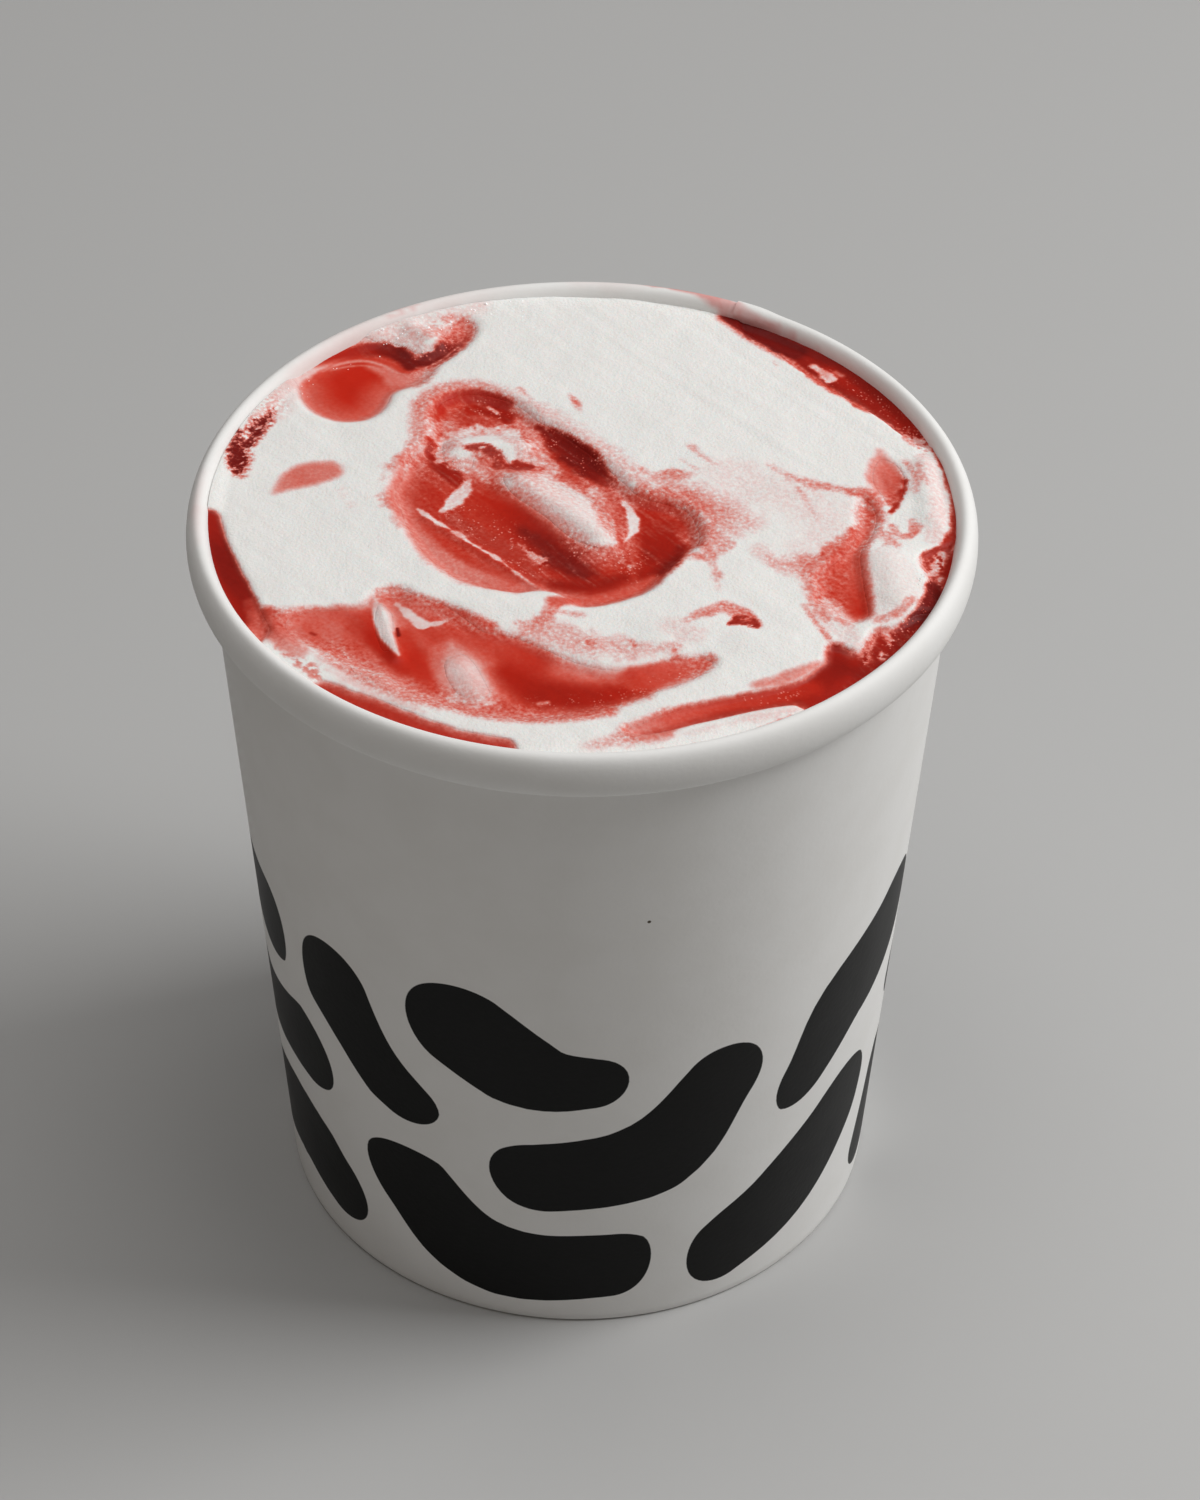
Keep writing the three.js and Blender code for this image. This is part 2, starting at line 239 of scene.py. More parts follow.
@dataclass(frozen=True)
class TubShape:
    """The driving sizes of the paper tub and of the level of its contents."""

    height: float = 125.6
    rim_radius: float = 58.5
    base_radius: float = 46.25
    paper: float = 0.5
    roll_half_width: float = 1.8
    roll_half_height: float = 3.73
    roll_end_deg: float = -120.0
    base_recess: float = 6.5
    foot_fold: float = 5.2
    gap: float = 0.3
    seam_deg: float = 65.2
    seam_lap: float = 8.0
    roll_lap: float = 0.3
    cream_drop: float = 1.53

    @property
    def roll_radius(self) -> float:
        """Radius of the roll's middle."""
        return self.rim_radius - self.roll_half_width

    @property
    def roll_z(self) -> float:
        """Height of the roll's middle."""
        return self.height - self.roll_half_height

    @property
    def wall_top(self) -> float:
        """Radius of the middle of the wall where the roll begins."""
        return self.roll_radius - self.roll_half_width + self.paper / 2

    @property
    def wall_foot(self) -> float:
        """Radius of the middle of the wall at the foot."""
        return self.base_radius - self.paper / 2

    @property
    def level(self) -> float:
        """Height of the ice cream."""
        return self.height - self.cream_drop

    def wall_middle(self, z: Array | float) -> Array | float:
        """Radius of the middle of the wall at a height."""
        return self.wall_foot + (self.wall_top - self.wall_foot) * z / self.roll_z

    def wall_inside(self, z: Array | float) -> Array | float:
        """Radius of the wall's inner face at a height."""
        return self.wall_middle(z) - self.paper / 2


# ---- Marks in the top --------------------------------------------------------------------------------


@dataclass(frozen=True)
class Dab:
    """A soft mark along a path in plan. Values in a tuple are spaced evenly along the path.

    Attributes:
        path: Points that its middle line passes through.
        width: Half its width.
        sauce: How much sauce shows there, 0 for plain ice cream to 1 for thick sauce.
        tone: How dark that sauce is, 0 for bright red to 1 for dark crimson.
        soft: Width of its blurred edge.
        ragged: How far its edge wanders.
        broken: Share of it that is left out in small gaps.
        strength: How much it covers what lies below.
    """

    path: tuple[Point, ...]
    width: Spread
    sauce: Spread
    tone: Spread = 0.0
    soft: float = 1.0
    ragged: float = 0.15
    broken: float = 0.0
    strength: float = 1.0

    WANDER = Grain(11, 1.8, octaves=4)
    GAPS = Grain(13, 0.7, octaves=2)

    def mask(self, x: Array, y: Array) -> tuple[Array, Array]:
        """How much the mark covers each spot, and how far along the path that spot lies."""
        path = through(self.path)
        margin = np.max(self.width) + self.soft + self.ragged * 2
        low, high = path.min(0) - margin, path.max(0) + margin
        close = (x > low[0]) & (x < high[0]) & (y > low[1]) & (y < high[1])
        cover, place = np.zeros(x.shape), np.zeros(x.shape)
        px, py = x[close], y[close]
        away, along = reach(path, px, py)
        edge = spread(self.width, along) - away + 0.7 * self.ragged * self.WANDER.at(px, py)
        kept = self.strength * smoothstep(-self.soft / 2, self.soft / 2, edge)
        if self.broken:
            kept *= smoothstep(-0.2, 0.2, self.GAPS.at(px, py) + 1.0 - 2.0 * self.broken)
        cover[close] = kept
        place[close] = along
        return cover, place


@dataclass(frozen=True)
class Ridge:
    """A soft bar of ice cream raised by the spatula."""

    start: Point
    end: Point
    width: float
    rise: float


@dataclass(frozen=True)
class RippleLook:
    """How one part of the ripple shows.

    Attributes:
        sink: How far the surface dips there.
        slope: How wide the dip's side is, to each side of the outline.
        sauce: How much sauce shows.
        tone: How dark it is.
        soft: Width of the blurred edge.
        core: How far in from the edge it shows in full.
        ragged: How far the edge wanders.
    """

    sink: float
    slope: float
    sauce: float
    tone: float
    soft: float
    core: float
    ragged: float

    AT_EDGE = 0.55

    def cover(self, depth: Array) -> tuple[Array, Array]:
        """How much of the sauce and how much of the ripple's own tone shows at a depth inside its edge."""
        edge = smoothstep(-self.soft / 2, self.soft / 2, depth)
        return edge * (self.AT_EDGE + (1 - self.AT_EDGE) * smoothstep(0.0, self.core, depth)), edge


RIPPLES = {
    "ripple_back_left_pool": RippleLook(1.0, 1.6, sauce=1.0, tone=0.0, soft=1.8, core=6.5, ragged=0.04),
    "ripple_left_edge": RippleLook(0.6, 0.9, sauce=1.0, tone=0.6, soft=0.8, core=1.2, ragged=0.1),
    "ripple_front_edge": RippleLook(0.5, 0.9, sauce=0.9, tone=0.3, soft=0.8, core=1.4, ragged=0.15),
    "ripple_front_wave": RippleLook(0.9, 1.8, sauce=0.88, tone=0.0, soft=2.4, core=6.0, ragged=0.15),
    "ripple_centre_swirl": RippleLook(1.5, 1.6, sauce=0.9, tone=0.15, soft=2.0, core=5.0, ragged=0.15),
    "ripple_back_right_edge": RippleLook(0.9, 0.7, sauce=1.0, tone=0.7, soft=0.7, core=1.8, ragged=0.1),
    "ripple_right_edge": RippleLook(1.0, 0.9, sauce=1.0, tone=0.5, soft=1.2, core=2.0, ragged=0.2),
    "ripple_right_pool": RippleLook(0.8, 1.2, sauce=0.74, tone=0.0, soft=2.4, core=3.0, ragged=0.3),
    "ripple_right_spot": RippleLook(0.5, 1.4, sauce=0.6, tone=0.0, soft=1.8, core=3.0, ragged=0.12),
}

RIDGES = (
    Ridge((-9, 8), (2.6, -5), 4.8, 1.8),
    Ridge((-18.5, 17.5), (-9.5, 17.5), 3.2, 1.2),
    Ridge((-23, 0), (-6, -16.5), 1.2, 0.35),
    Ridge((-29, -21.5), (-26.3, -33), 1.6, 0.5),
    Ridge((-17.6, -34.5), (-14.8, -41.5), 3.2, 0.7),
    Ridge((44.2, -11), (46, -20), 4.6, 0.9),
    Ridge((51, 12), (51.6, -1), 2.8, 0.7),
    Ridge((-26.5, 45.5), (-22.4, 42.6), 2.4, 0.9),
    Ridge((-5, -22.5), (-24, -21), 3.2, 0.5),
    Ridge((12, -27), (29, -29), 6.0, 0.4),
)

# The marks are laid on in this order, first the hazes that lie under the ripple.
HAZE = (
    # The back left, beside the wall.
    Dab(((-47, 25), (-42, 34), (-34, 42.5), (-25, 48.5), (-17, 52.5)), 2.4, 0.06, soft=3.0, ragged=0.8),
    Dab(((-31, 49.5), (-27.5, 51.3)), 0.8, 0.14, soft=1.4, ragged=0.5),
    Dab(((-42, 40), (-38, 43.4)), 0.8, 0.12, soft=1.4, ragged=0.5),
    # Round the swirl.
    Dab(((-24.6, 16), (-24.4, 22), (-23.4, 28), (-19.6, 31), (-14.8, 31), (-10.6, 29.2)),
        (1.0, 1.7, 1.9, 1.7, 1.4, 0.8), (0.34, 0.3, 0.36, 0.34, 0.26, 0.12), soft=2.6, ragged=0.4),
    Dab(((-9.6, 27.4), (-5, 24), (-1, 20), (3, 15), (7, 10)), (1.4, 1.5, 1.2, 1.6, 2.2), 0.13, soft=2.8,
        ragged=1.2),
    Dab(((-9.8, 30.8), (-8, 28.2)), 0.5, 0.18, soft=1.0, ragged=0.5),
    Dab(((-2.2, 29.6), (-1.2, 27.6), (-0.4, 25)), (0.2, 0.5, 0.3), (0.1, 0.42, 0.1), soft=0.8),
    Dab(((-25.6, 17.5), (-27, 11), (-27.6, 5), (-27, 0), (-25.6, -3)), (0.7, 1.4, 1.5, 1.2, 0.9),
        (0.3, 0.42, 0.46, 0.46, 0.48), soft=2.6, ragged=1.4),
    Dab(((8, 8), (14, 6), (20, 3), (24, -2)), (1.5, 3.0, 3.0, 2.0), 0.16, soft=4.0, ragged=1.6),
    Dab(((12, 4.4), (16, 3), (20.4, 0.6)), (1.8, 2.3, 1.2), (0.6, 0.42, 0.3), soft=2.4, ragged=1.4),
    Dab(((18, 1), (21.6, -2.4), (22.6, -5)), (1.6, 1.5, 0.8), (0.34, 0.26, 0.12), soft=2.4, ragged=1.2),
    Dab(((11, 9), (13.5, 9.8), (16.6, 9.4)), (1.0, 1.4, 0.6), (0.3, 0.34, 0.2), soft=1.4, ragged=1.1),
    Dab(((16, 17), (18, 14), (20, 11.8)), 0.3, 0.2, soft=0.8, ragged=0.6),
    Dab(((14.6, 13.4), (16.8, 11.2)), 0.3, 0.26, soft=0.7, ragged=0.5),
    Dab(((8.6, 11), (11.6, 7.4)), 0.5, 0.2, soft=1.0, ragged=0.6),
    Dab(((17.6, -2.6), (20.2, -7.4)), 1.7, 0.24, 0.25, soft=2.0, ragged=1.2),
    Dab(((22, 9), (30, 5), (36, -1), (34, -10)), 4.4, 0.05, soft=6.0, ragged=1.6),
    # Right of the swirl, up to the spot and the pool.
    Dab(((27.4, 12.4), (30, 10.2), (34, 7.6), (38.5, 6.2), (41.6, 5.2), (43, 2.6)),
        (0.2, 0.5, 0.8, 0.8, 0.8, 1.0), (0.12, 0.24, 0.3, 0.3, 0.4, 0.55), soft=1.2, ragged=0.5),
    Dab(((32, 6.5), (33.6, 2), (35, -2)), 0.35, (0.24, 0.18, 0.06), soft=0.9, ragged=0.3),
    Dab(((25.6, -8), (29, -11.4), (34, -12)), (0.8, 1.8, 2.2), (0.1, 0.18, 0.34), soft=2.6, ragged=1.1),
    Dab(((42.8, 5), (42.6, 0), (41, -4.5), (38.4, -8.5), (35, -12.6), (33, -16)),
        (0.9, 1.4, 1.7, 2.6, 2.6, 1.2), (0.55, 0.62, 0.62, 0.56, 0.46, 0.24), soft=2.4, ragged=0.9),
    Dab(((34.4, -12), (34.6, -18), (37, -25)), 1.8, 0.42, soft=2.6, ragged=0.9),
    Dab(((39, -9), (37.6, -13.6), (36.8, -19.6)), (1.5, 2.2, 1.6), (0.66, 0.76, 0.8), 0.05, soft=2.4,
        ragged=0.7),
    Dab(((35, -9.2), (35.4, -10)), 0.35, 0.66, 0.1, soft=0.8, ragged=0.4),
    Dab(((18.2, -8), (19.4, -12.6), (19.8, -18)), (1.1, 0.5, 0.5), (0.32, 0.24, 0.14), soft=1.3,
        ragged=0.6),
    Dab(((15.6, -9.8), (18.6, -10)), 0.9, 0.3, soft=1.4, ragged=0.6),
    Dab(((13, -26.4), (16, -28.4)), 1.8, 0.07, soft=2.4, ragged=0.6),
    # Round the wave.
    Dab(((-8.6, -27), (-3, -28.8), (2, -30.6), (8, -31.6), (13, -31.4)), (1.4, 2.6, 2.6, 2.0, 0.9),
        (0.3, 0.17, 0.2, 0.16, 0.2), soft=3.0, ragged=1.5),
    Dab(((-3.4, -20.6), (-4.6, -23.6), (-7.4, -26.6)), (1.1, 0.9, 1.4), (0.6, 0.4, 0.3), soft=1.4,
        ragged=0.7),
    Dab(((-4, -23), (0, -24)), 0.5, 0.2, soft=1.0, ragged=0.5),
    Dab(((-45.4, -24), (-43.6, -28), (-40.6, -32.4)), (1.2, 2.2, 1.6), (0.8, 0.56, 0.28), 0.2, soft=1.8,
        ragged=0.3),
    Dab(((-43, -31), (-40, -35.4), (-37, -38.6)), 0.9, 0.36, 0.1, soft=1.0, ragged=0.8, broken=0.45),
    Dab(((-38.6, -30.4), (-33, -35.8), (-27, -40.4), (-21, -43.6)), (1.0, 1.9, 1.9, 1.4),
        (0.24, 0.3, 0.34, 0.4), soft=2.6, ragged=0.8),
    Dab(((-36, -37), (-29, -42), (-22, -46)), 0.5, 0.12, soft=1.2, ragged=0.5),
    Dab(((-20, -43.8), (-13, -46.2), (-5, -46.9), (4, -45.4)), 1.1, 0.46, soft=1.6, ragged=0.15),
    Dab(((25, -39.4), (29, -37.8), (33.6, -34.6)), (0.9, 1.2, 0.7), 0.34, soft=1.3, ragged=0.3),
    Dab(((33, -44), (24, -46.6), (14, -50.6)), 0.6, 0.08, soft=2.0, ragged=0.9),
    Dab(((11, -49.6), (5, -51.8), (1, -53)), (2.0, 1.5, 0.7), (0.46, 0.3, 0.12), soft=2.4, ragged=0.6),
    Dab(((19.4, -52.6), (21, -52)), 0.5, 0.2, soft=0.8, ragged=0.5),
    # The right edge.
    Dab(((48.4, 13), (49.8, 9.4), (49.4, 6)), 0.6, 0.28, soft=1.0, ragged=0.6),
    Dab(((43.4, -4), (45.4, -6.4), (44, -8.6)), 1.0, 0.24, soft=1.2, ragged=0.8),
    Dab(((-35.8, 5), (-34.2, 1.6)), 0.6, 0.05, soft=1.6, ragged=0.4, broken=0.3),
)

MARKS = (
    # The left edge, the small oval beside it and the dark flecks behind it.
    Dab(((-54.8, -1), (-53.4, -8), (-50.6, -17), (-46.6, -25)), (0.5, 1.4, 1.5, 0.9), 1.0,
        (0.6, 0.85, 0.8, 0.6), soft=1.4),
    Dab(((-47.4, -21.4), (-46.8, -25), (-46.8, -29.4)), (0.6, 1.2, 1.4), (0.76, 0.62, 0.5),
        (0.3, 0.15, 0.1), soft=1.8, ragged=0.7),
    Dab(((-45.6, 4.4), (-43.4, 7), (-40.6, 9), (-38.2, 9.8)), (0.4, 1.9, 2.7, 2.2), (0.3, 0.44, 0.5, 0.46),
        soft=1.8, ragged=0.1),
    Dab(((-47.6, 25.2), (-48.4, 22), (-49.2, 19.4), (-49.8, 16.6)), (0.5, 1.3, 1.2, 0.7), 0.86, 1.2,
        soft=1.7, ragged=0.6, broken=0.05),
    Dab(((-51.7, 19.2), (-51.7, 16.2), (-51.3, 12.8), (-50.9, 8.8)), (0.6, 1.4, 1.9, 0.5), 0.9, 1.2,
        soft=1.7, ragged=0.6, broken=0.05),
    Dab(((-51.8, 17.4), (-50.2, 17)), 0.6, 0.7, 0.9, soft=1.2, ragged=0.6),
    # The back left pool: frost at the wall, deep band, crevice, lobe, more frost and the fine arc across it.
    Dab(((-49, 24), (-46, 29.6), (-42, 35), (-37, 40.2), (-31.6, 44.6)), (0.8, 0.9, 1.2, 1.2, 0.8),
        (0.08, 0.12, 0.16, 0.14, 0.1), soft=1.3, ragged=0.5),
    Dab(((-41, 37), (-37, 39.4), (-32.6, 40.6), (-29, 40.6)), (0.8, 1.4, 1.8, 1.7), 1.0,
        (0.15, 0.3, 0.5, 0.85), soft=2.0, ragged=0.1),
    Dab(((-30, 40.6), (-27.6, 38.4), (-26.6, 36.4)), (1.6, 1.7, 1.0), 1.0, (0.8, 1.0, 1.0), soft=1.4,
        ragged=0.2),
    Dab(((-26.6, 36.4), (-23.6, 38.2), (-20.6, 41.4), (-18.8, 44.6)), (1.0, 1.8, 1.9, 1.3),
        (1.0, 0.86, 0.9, 0.7), (1.0, 0.9, 0.85, 0.4), soft=1.3, ragged=0.4),
    Dab(((-20.2, 44), (-18.8, 46.6), (-18.6, 48.6)), (1.6, 1.5, 1.0), (0.62, 0.5, 0.45), (0.25, 0.1, 0.05),
        soft=1.8, ragged=0.3),
    Dab(((-32.8, 36), (-30.2, 34.8), (-28.8, 33)), (0.5, 1.4, 1.2), 0.52, soft=1.6, ragged=0.1),
    Dab(((-40, 34.8), (-37.4, 36.8), (-33.8, 37.6), (-31, 36.6), (-28.6, 34.6)),
        (0.15, 0.35, 0.35, 0.35, 0.3), (0.5, 0.36, 0.38, 0.34, 0.42), soft=0.7, ragged=0.05),
    Dab(((-38.6, 35.2), (-36, 36.2), (-33, 36.3), (-30.6, 34.8)), 0.2, 0.44, soft=0.7, ragged=0.05),
    Dab(((-29, 32.6), (-25.8, 32.8), (-23.4, 35)), (1.4, 1.7, 1.0), (0.5, 0.42, 0.3), soft=1.6,
        ragged=0.25),
    Dab(((-28.6, 34.6), (-27, 34.2), (-25, 35.4), (-22, 38), (-19.4, 41.4)), 0.15, 0.4, 0.3, soft=0.6,
        ragged=0.1),
    Dab(((-31.4, 43.6), (-28, 43.4), (-25.4, 41.6), (-23.6, 40.6)), (0.9, 2.0, 1.7, 0.7), 0.1, soft=0.7,
        ragged=0.9),
    Dab(((-29, 46), (-24.6, 45.4), (-21.8, 46)), (1.6, 2.0, 1.2), (0.08, 0.14, 0.3), soft=1.2, ragged=0.9),
    Dab(((-23.4, 47.4), (-20.6, 48.8)), 1.0, 0.26, soft=1.2, ragged=0.7, broken=0.3),
    # The top of the swirl.
    Dab(((-21.4, 24), (-20.2, 27.4), (-16.6, 28.8), (-12, 27)), (1.6, 1.9, 1.9, 1.5), 0.98,
        (0.1, 0.15, 0.35, 0.55), soft=1.6, ragged=0.25),
    Dab(((-19.8, 20.4), (-20.2, 24.6), (-18.8, 26)), (1.0, 1.0, 0.4), (0.4, 0.55, 0.7), soft=1.8,
        ragged=0.6),
    Dab(((-17, 25.4), (-13.6, 25.2), (-11.4, 23.4)), (1.2, 1.6, 1.4), 1.0, (0.3, 0.6, 0.6), soft=1.4,
        ragged=0.5),
    Dab(((-14.4, 26), (-13, 24.4)), 0.25, 0.35, soft=0.5, ragged=0.3),
    Dab(((-16.6, 22.6), (-13.6, 22.4)), 0.9, 0.8, 0.2, soft=1.2, ragged=0.7),
    Dab(((-23.2, 18), (-22.4, 14), (-20, 9.6), (-18.2, 6.4)), (0.5, 1.3, 1.9, 0.9), 1.0,
        (0.2, 0.45, 0.6, 0.45), soft=1.0, ragged=0.3),
    Dab(((-9.6, 22.6), (-7.8, 18), (-6.8, 13.6), (-4, 10)), (1.0, 1.2, 1.2, 1.0), (0.5, 0.4, 0.3, 0.3), 0.1,
        soft=1.6, ragged=0.9),
    # This dark band at the foot of the raised slab is partly dark sauce and partly a painted shadow of the
    # slab's edge.
    Dab(((-6.6, 20.8), (-4, 18.2), (-1, 14.2), (1.6, 10.6), (3.4, 8.2)), (0.7, 2.0, 2.8, 2.3, 1.2), 1.0,
        (0.7, 0.8, 0.9, 0.95, 0.8), soft=1.5, ragged=0.7),
    Dab(((3.6, 8.4), (5.4, 5.4), (6.4, 3.4)), (0.8, 0.7, 0.4), (0.8, 0.6, 0.5), 0.6, soft=1.2, ragged=0.6),
    Dab(((-21, 13), (-20.2, 17.4), (-17.4, 19.6), (-12.6, 19.8), (-9.6, 17.4), (-8.8, 13.4)),
        (1.1, 1.5, 1.3, 1.5, 1.5, 1.1), (0.24, 0.18, 0.12, 0.1, 0.12, 0.2), soft=1.3, ragged=1.5),
    Dab(((-20, 13), (-17.4, 11.4), (-15, 9.4)), (1.2, 1.6, 1.2), (0.3, 0.24, 0.34), soft=1.6, ragged=1.4),
    Dab(((-12.6, 9.6), (-9.6, 9.6), (-6, 9)), (1.2, 1.2, 1.0), (0.5, 0.5, 0.3), soft=1.4, ragged=0.6),
    Dab(((-17, 16), (-14.4, 15.6), (-13, 13.6), (-12.2, 11.4), (-9.6, 10.8)), (0.6, 1.2, 1.0, 1.1, 0.9),
        (0.8, 0.9, 0.86, 0.86, 0.94), 0.5, soft=0.8, ragged=0.7, broken=0.08),
    Dab(((-9.8, 12), (-8, 11)), 0.8, 0.94, 0.55, soft=0.7, ragged=0.6),
    # The middle and the right of the swirl.
    Dab(((-14, 3.4), (-10, -1), (-6, -6.6), (-2, -12), (2, -16)), (2.0, 3.0, 3.0, 2.8, 1.8), 1.0,
        (0.1, 0.35, 0.6, 0.75, 0.4), soft=4.6, ragged=0.4),
    Dab(((-8.4, -4.6), (-5.4, -8.4), (-2.4, -12), (0.4, -15)), (0.6, 1.3, 1.8, 1.0), 0.96, 0.9, soft=3.4,
        ragged=0.9),
    Dab(((-4, -17), (1, -17.4), (6, -15.4)), (1.2, 1.6, 1.2), 1.0, 0.6, soft=2.4, ragged=0.3),
    Dab(((8.6, 4.4), (12, 1.4), (15.6, -1.4)), (1.6, 2.4, 1.6), (0.8, 0.86, 0.7), (0.1, 0.2, 0.1), soft=2.2,
        ragged=0.9),
    Dab(((9.6, 0), (11.4, -5), (11.6, -10), (9.4, -14.6)), (1.8, 3.2, 3.0, 1.5), 1.0,
        (0.25, 0.45, 0.6, 0.45), soft=2.4, ragged=0.3),
    Dab(((14.4, -3), (16, -6.4)), (1.6, 1.0), (0.9, 0.6), (0.35, 0.2), soft=1.6, ragged=1.0),
    Dab(((6.6, 6), (11, 5), (15.6, 2), (17.6, -3), (17, -7)), (0.9, 1.3, 1.5, 1.1, 0.6),
        (0.5, 0.42, 0.42, 0.5, 0.6), soft=2.6, ragged=1.6),
    Dab(((14.6, -8), (13, -11.4), (10.6, -14.6)), (0.8, 1.1, 0.8), 1.0, 0.75, soft=1.6, ragged=0.2),
    Dab(((-4, -20.6), (1.6, -20.6), (7, -18.6), (10.6, -15.6)), 0.9, 0.66, 0.0, soft=1.6, ragged=0.3),
    Dab(((-25, -3.6), (-21.8, -9.6), (-17, -14.4), (-9.6, -17.6)), (1.0, 1.8, 1.9, 1.0),
        (0.5, 0.43, 0.42, 0.56), soft=2.4, ragged=0.3),
    Dab(((-23, -3), (-19.6, -7.6), (-15, -11.6), (-10, -16)), (0.9, 1.2, 1.0, 0.8), (0.8, 0.86, 0.8, 0.74),
        0.05, soft=2.2, ragged=0.12),
    Dab(((-19, -2.4), (-14.4, -6), (-9.6, -11), (-6.6, -16)), (1.6, 1.6, 1.5, 0.9), 0.84, 0.3, soft=1.8,
        ragged=0.7, strength=0.85),
    Dab(((-16.6, 8), (-18, 4.6), (-19.4, 2), (-20.8, 0.2)), (0.3, 1.1, 1.4, 0.4), (0.2, 0.12, 0.08, 0.1),
        soft=0.7, ragged=0.4),
    Dab(((-11.4, 9.4), (-7.6, 7), (-3, 2.6), (0.8, -2.4), (4, -6.6)), (1.0, 3.1, 3.7, 3.2, 1.2),
        (0.24, 0.12, 0.08, 0.05, 0.04), soft=2.4, ragged=0.5),
    # Pink along the lower left of the white blob: partly pink stain and partly painted shade on that side of
    # its ridge.
    Dab(((-10, 5.4), (-6.6, 1), (-3, -2.8), (0, -6)), (0.7, 0.9, 0.9, 0.7), (0.5, 0.4, 0.36, 0.4), soft=2.4,
        ragged=0.5, strength=0.8),
    Dab(((1.4, 5.4), (3, 1.6), (3.6, -2.4), (4.4, -5.4)), (0.9, 1.4, 1.1, 0.5), (0.24, 0.42, 0.36, 0.2),
        soft=1.5, ragged=0.4),
    Dab(((4.6, 4), (5.3, 0), (5.3, -4), (5.8, -8.4)), (0.2, 0.45, 0.4, 0.3), (0.5, 0.74, 0.66, 0.8), 0.1,
        soft=0.7, ragged=0.2),
    Dab(((5.6, 3.4), (7, 1), (7.6, -2), (7.4, -4.6), (6.4, -6.4)), (0.2, 0.6, 0.95, 0.8, 0.2),
        (0.2, 0.1, 0.04, 0.06, 0.1), soft=0.6, ragged=0.35),
    Dab(((1.4, -8.6), (4.4, -9.4), (7, -12)), 0.8, 0.5, 0.2, soft=1.6, ragged=0.9, broken=0.35),
    Dab(((-9.6, -7.4), (-7.6, -9.6), (-5.6, -12.4)), 0.5, 0.36, 0.1, soft=0.8, ragged=0.8, broken=0.3),
    Dab(((-24.4, 0.6), (-22, -2), (-19, -4.6), (-15.8, -8), (-12.4, -11), (-9, -15), (-6.4, -18)),
        (0.3, 0.65, 0.25, 0.5, 0.25, 0.35, 0.2), (0.16, 0.06, 0.2, 0.08, 0.16, 0.2, 0.36), soft=0.45,
        ragged=0.45),
    # The front wave.
    Dab(((-43, -24.8), (-38, -25.6), (-35, -31)), (1.4, 2.8, 1.6), (0.52, 0.62, 0.56), soft=2.6,
        ragged=0.3),
    Dab(((-35, -24), (-32, -26), (-30.6, -31)), (1.4, 2.2, 1.2), (0.68, 0.86, 0.8), (0.0, 0.1, 0.1),
        soft=2.6, ragged=0.3),
    Dab(((-29.2, -18.8), (-27.2, -18.8), (-23.4, -21), (-18.4, -23.8), (-13, -26.6)),
        (0.6, 1.1, 1.1, 1.3, 0.8), (0.34, 0.5, 0.56, 0.6, 0.7), soft=1.8, ragged=0.2),
    # The red line beside the first white slit is partly sauce and partly painted shade in the slit.
    Dab(((-30.4, -24), (-30, -29), (-27.6, -33.4), (-25, -37)), (0.9, 1.3, 1.4, 1.2),
        (0.86, 1.0, 1.0, 0.95), (0.0, 0.2, 0.3, 0.1), soft=1.8, ragged=0.2),
    Dab(((-25.4, -29), (-24, -34), (-21.6, -39), (-19.4, -42)), (1.4, 1.8, 1.6, 1.0),
        (0.86, 0.98, 0.94, 0.7), 0.0, soft=2.0, ragged=0.3),
    Dab(((-18, -27.6), (-12, -31), (-7, -35)), (2.0, 2.6, 2.8), (0.78, 0.82, 0.94), (0.0, 0.0, 0.1),
        soft=3.6),
    Dab(((-10.6, -37), (-6, -41.4), (1, -42.6), (8, -40.4)), (1.8, 3.0, 2.6, 1.8), 1.0,
        (0.25, 0.45, 0.42, 0.2), soft=3.6, ragged=0.3),
    Dab(((8, -38.6), (13, -36.4), (18.6, -33.6)), (2.6, 2.0, 0.8), (0.84, 0.74, 0.45), soft=1.6,
        ragged=0.5),
    Dab(((13.2, -31.6), (13.8, -34)), (0.2, 0.6), 0.55, soft=0.8, ragged=0.3),
    Dab(((-29.7, -20.6), (-29.4, -24.6), (-28, -29), (-26, -33.4)), (0.25, 0.85, 1.0, 0.2),
        (0.2, 0.05, 0.05, 0.1), soft=0.6, ragged=0.15),
    Dab(((-26.6, -21.8), (-24.8, -24.2), (-22.6, -26.4)), (0.25, 0.9, 1.2), (0.2, 0.08, 0.1), soft=0.6,
        ragged=0.5),
    Dab(((-22.6, -26.6), (-21, -26.2), (-19.2, -25.6)), (1.0, 0.7, 0.2), (0.1, 0.14, 0.2), soft=0.6,
        ragged=0.5),
    Dab(((-26.5, -27.4), (-26.2, -29)), 0.25, 1.0, 1.0, soft=0.4, ragged=0.1),
    Dab(((-38.8, -28.6), (-38.3, -29)), 0.25, 0.95, 0.5, soft=0.6, ragged=0.1),
    Dab(((-20.6, -32), (-19.8, -37), (-18.4, -42.4)), (0.9, 1.1, 1.0), (0.6, 0.42, 0.4), soft=2.0,
        ragged=0.3),
    Dab(((-18.6, -31), (-17, -36), (-14.8, -41.6)), (0.8, 2.7, 2.2), (0.36, 0.12, 0.18), soft=2.6,
        ragged=0.2),
    Dab(((-18, -43.4), (-15, -44), (-12.4, -43.8)), (0.4, 0.7, 0.4), 0.2, soft=0.8, ragged=0.8,
        broken=0.25),
    Dab(((-6, -44), (-4.6, -43.6)), 0.35, 0.45, soft=0.5, ragged=0.5),
    # Marks between the wave and the swirl.
    Dab(((0.2, -29.4), (1.4, -30.4)), 0.45, 0.44, 0.1, soft=0.7, ragged=0.6),
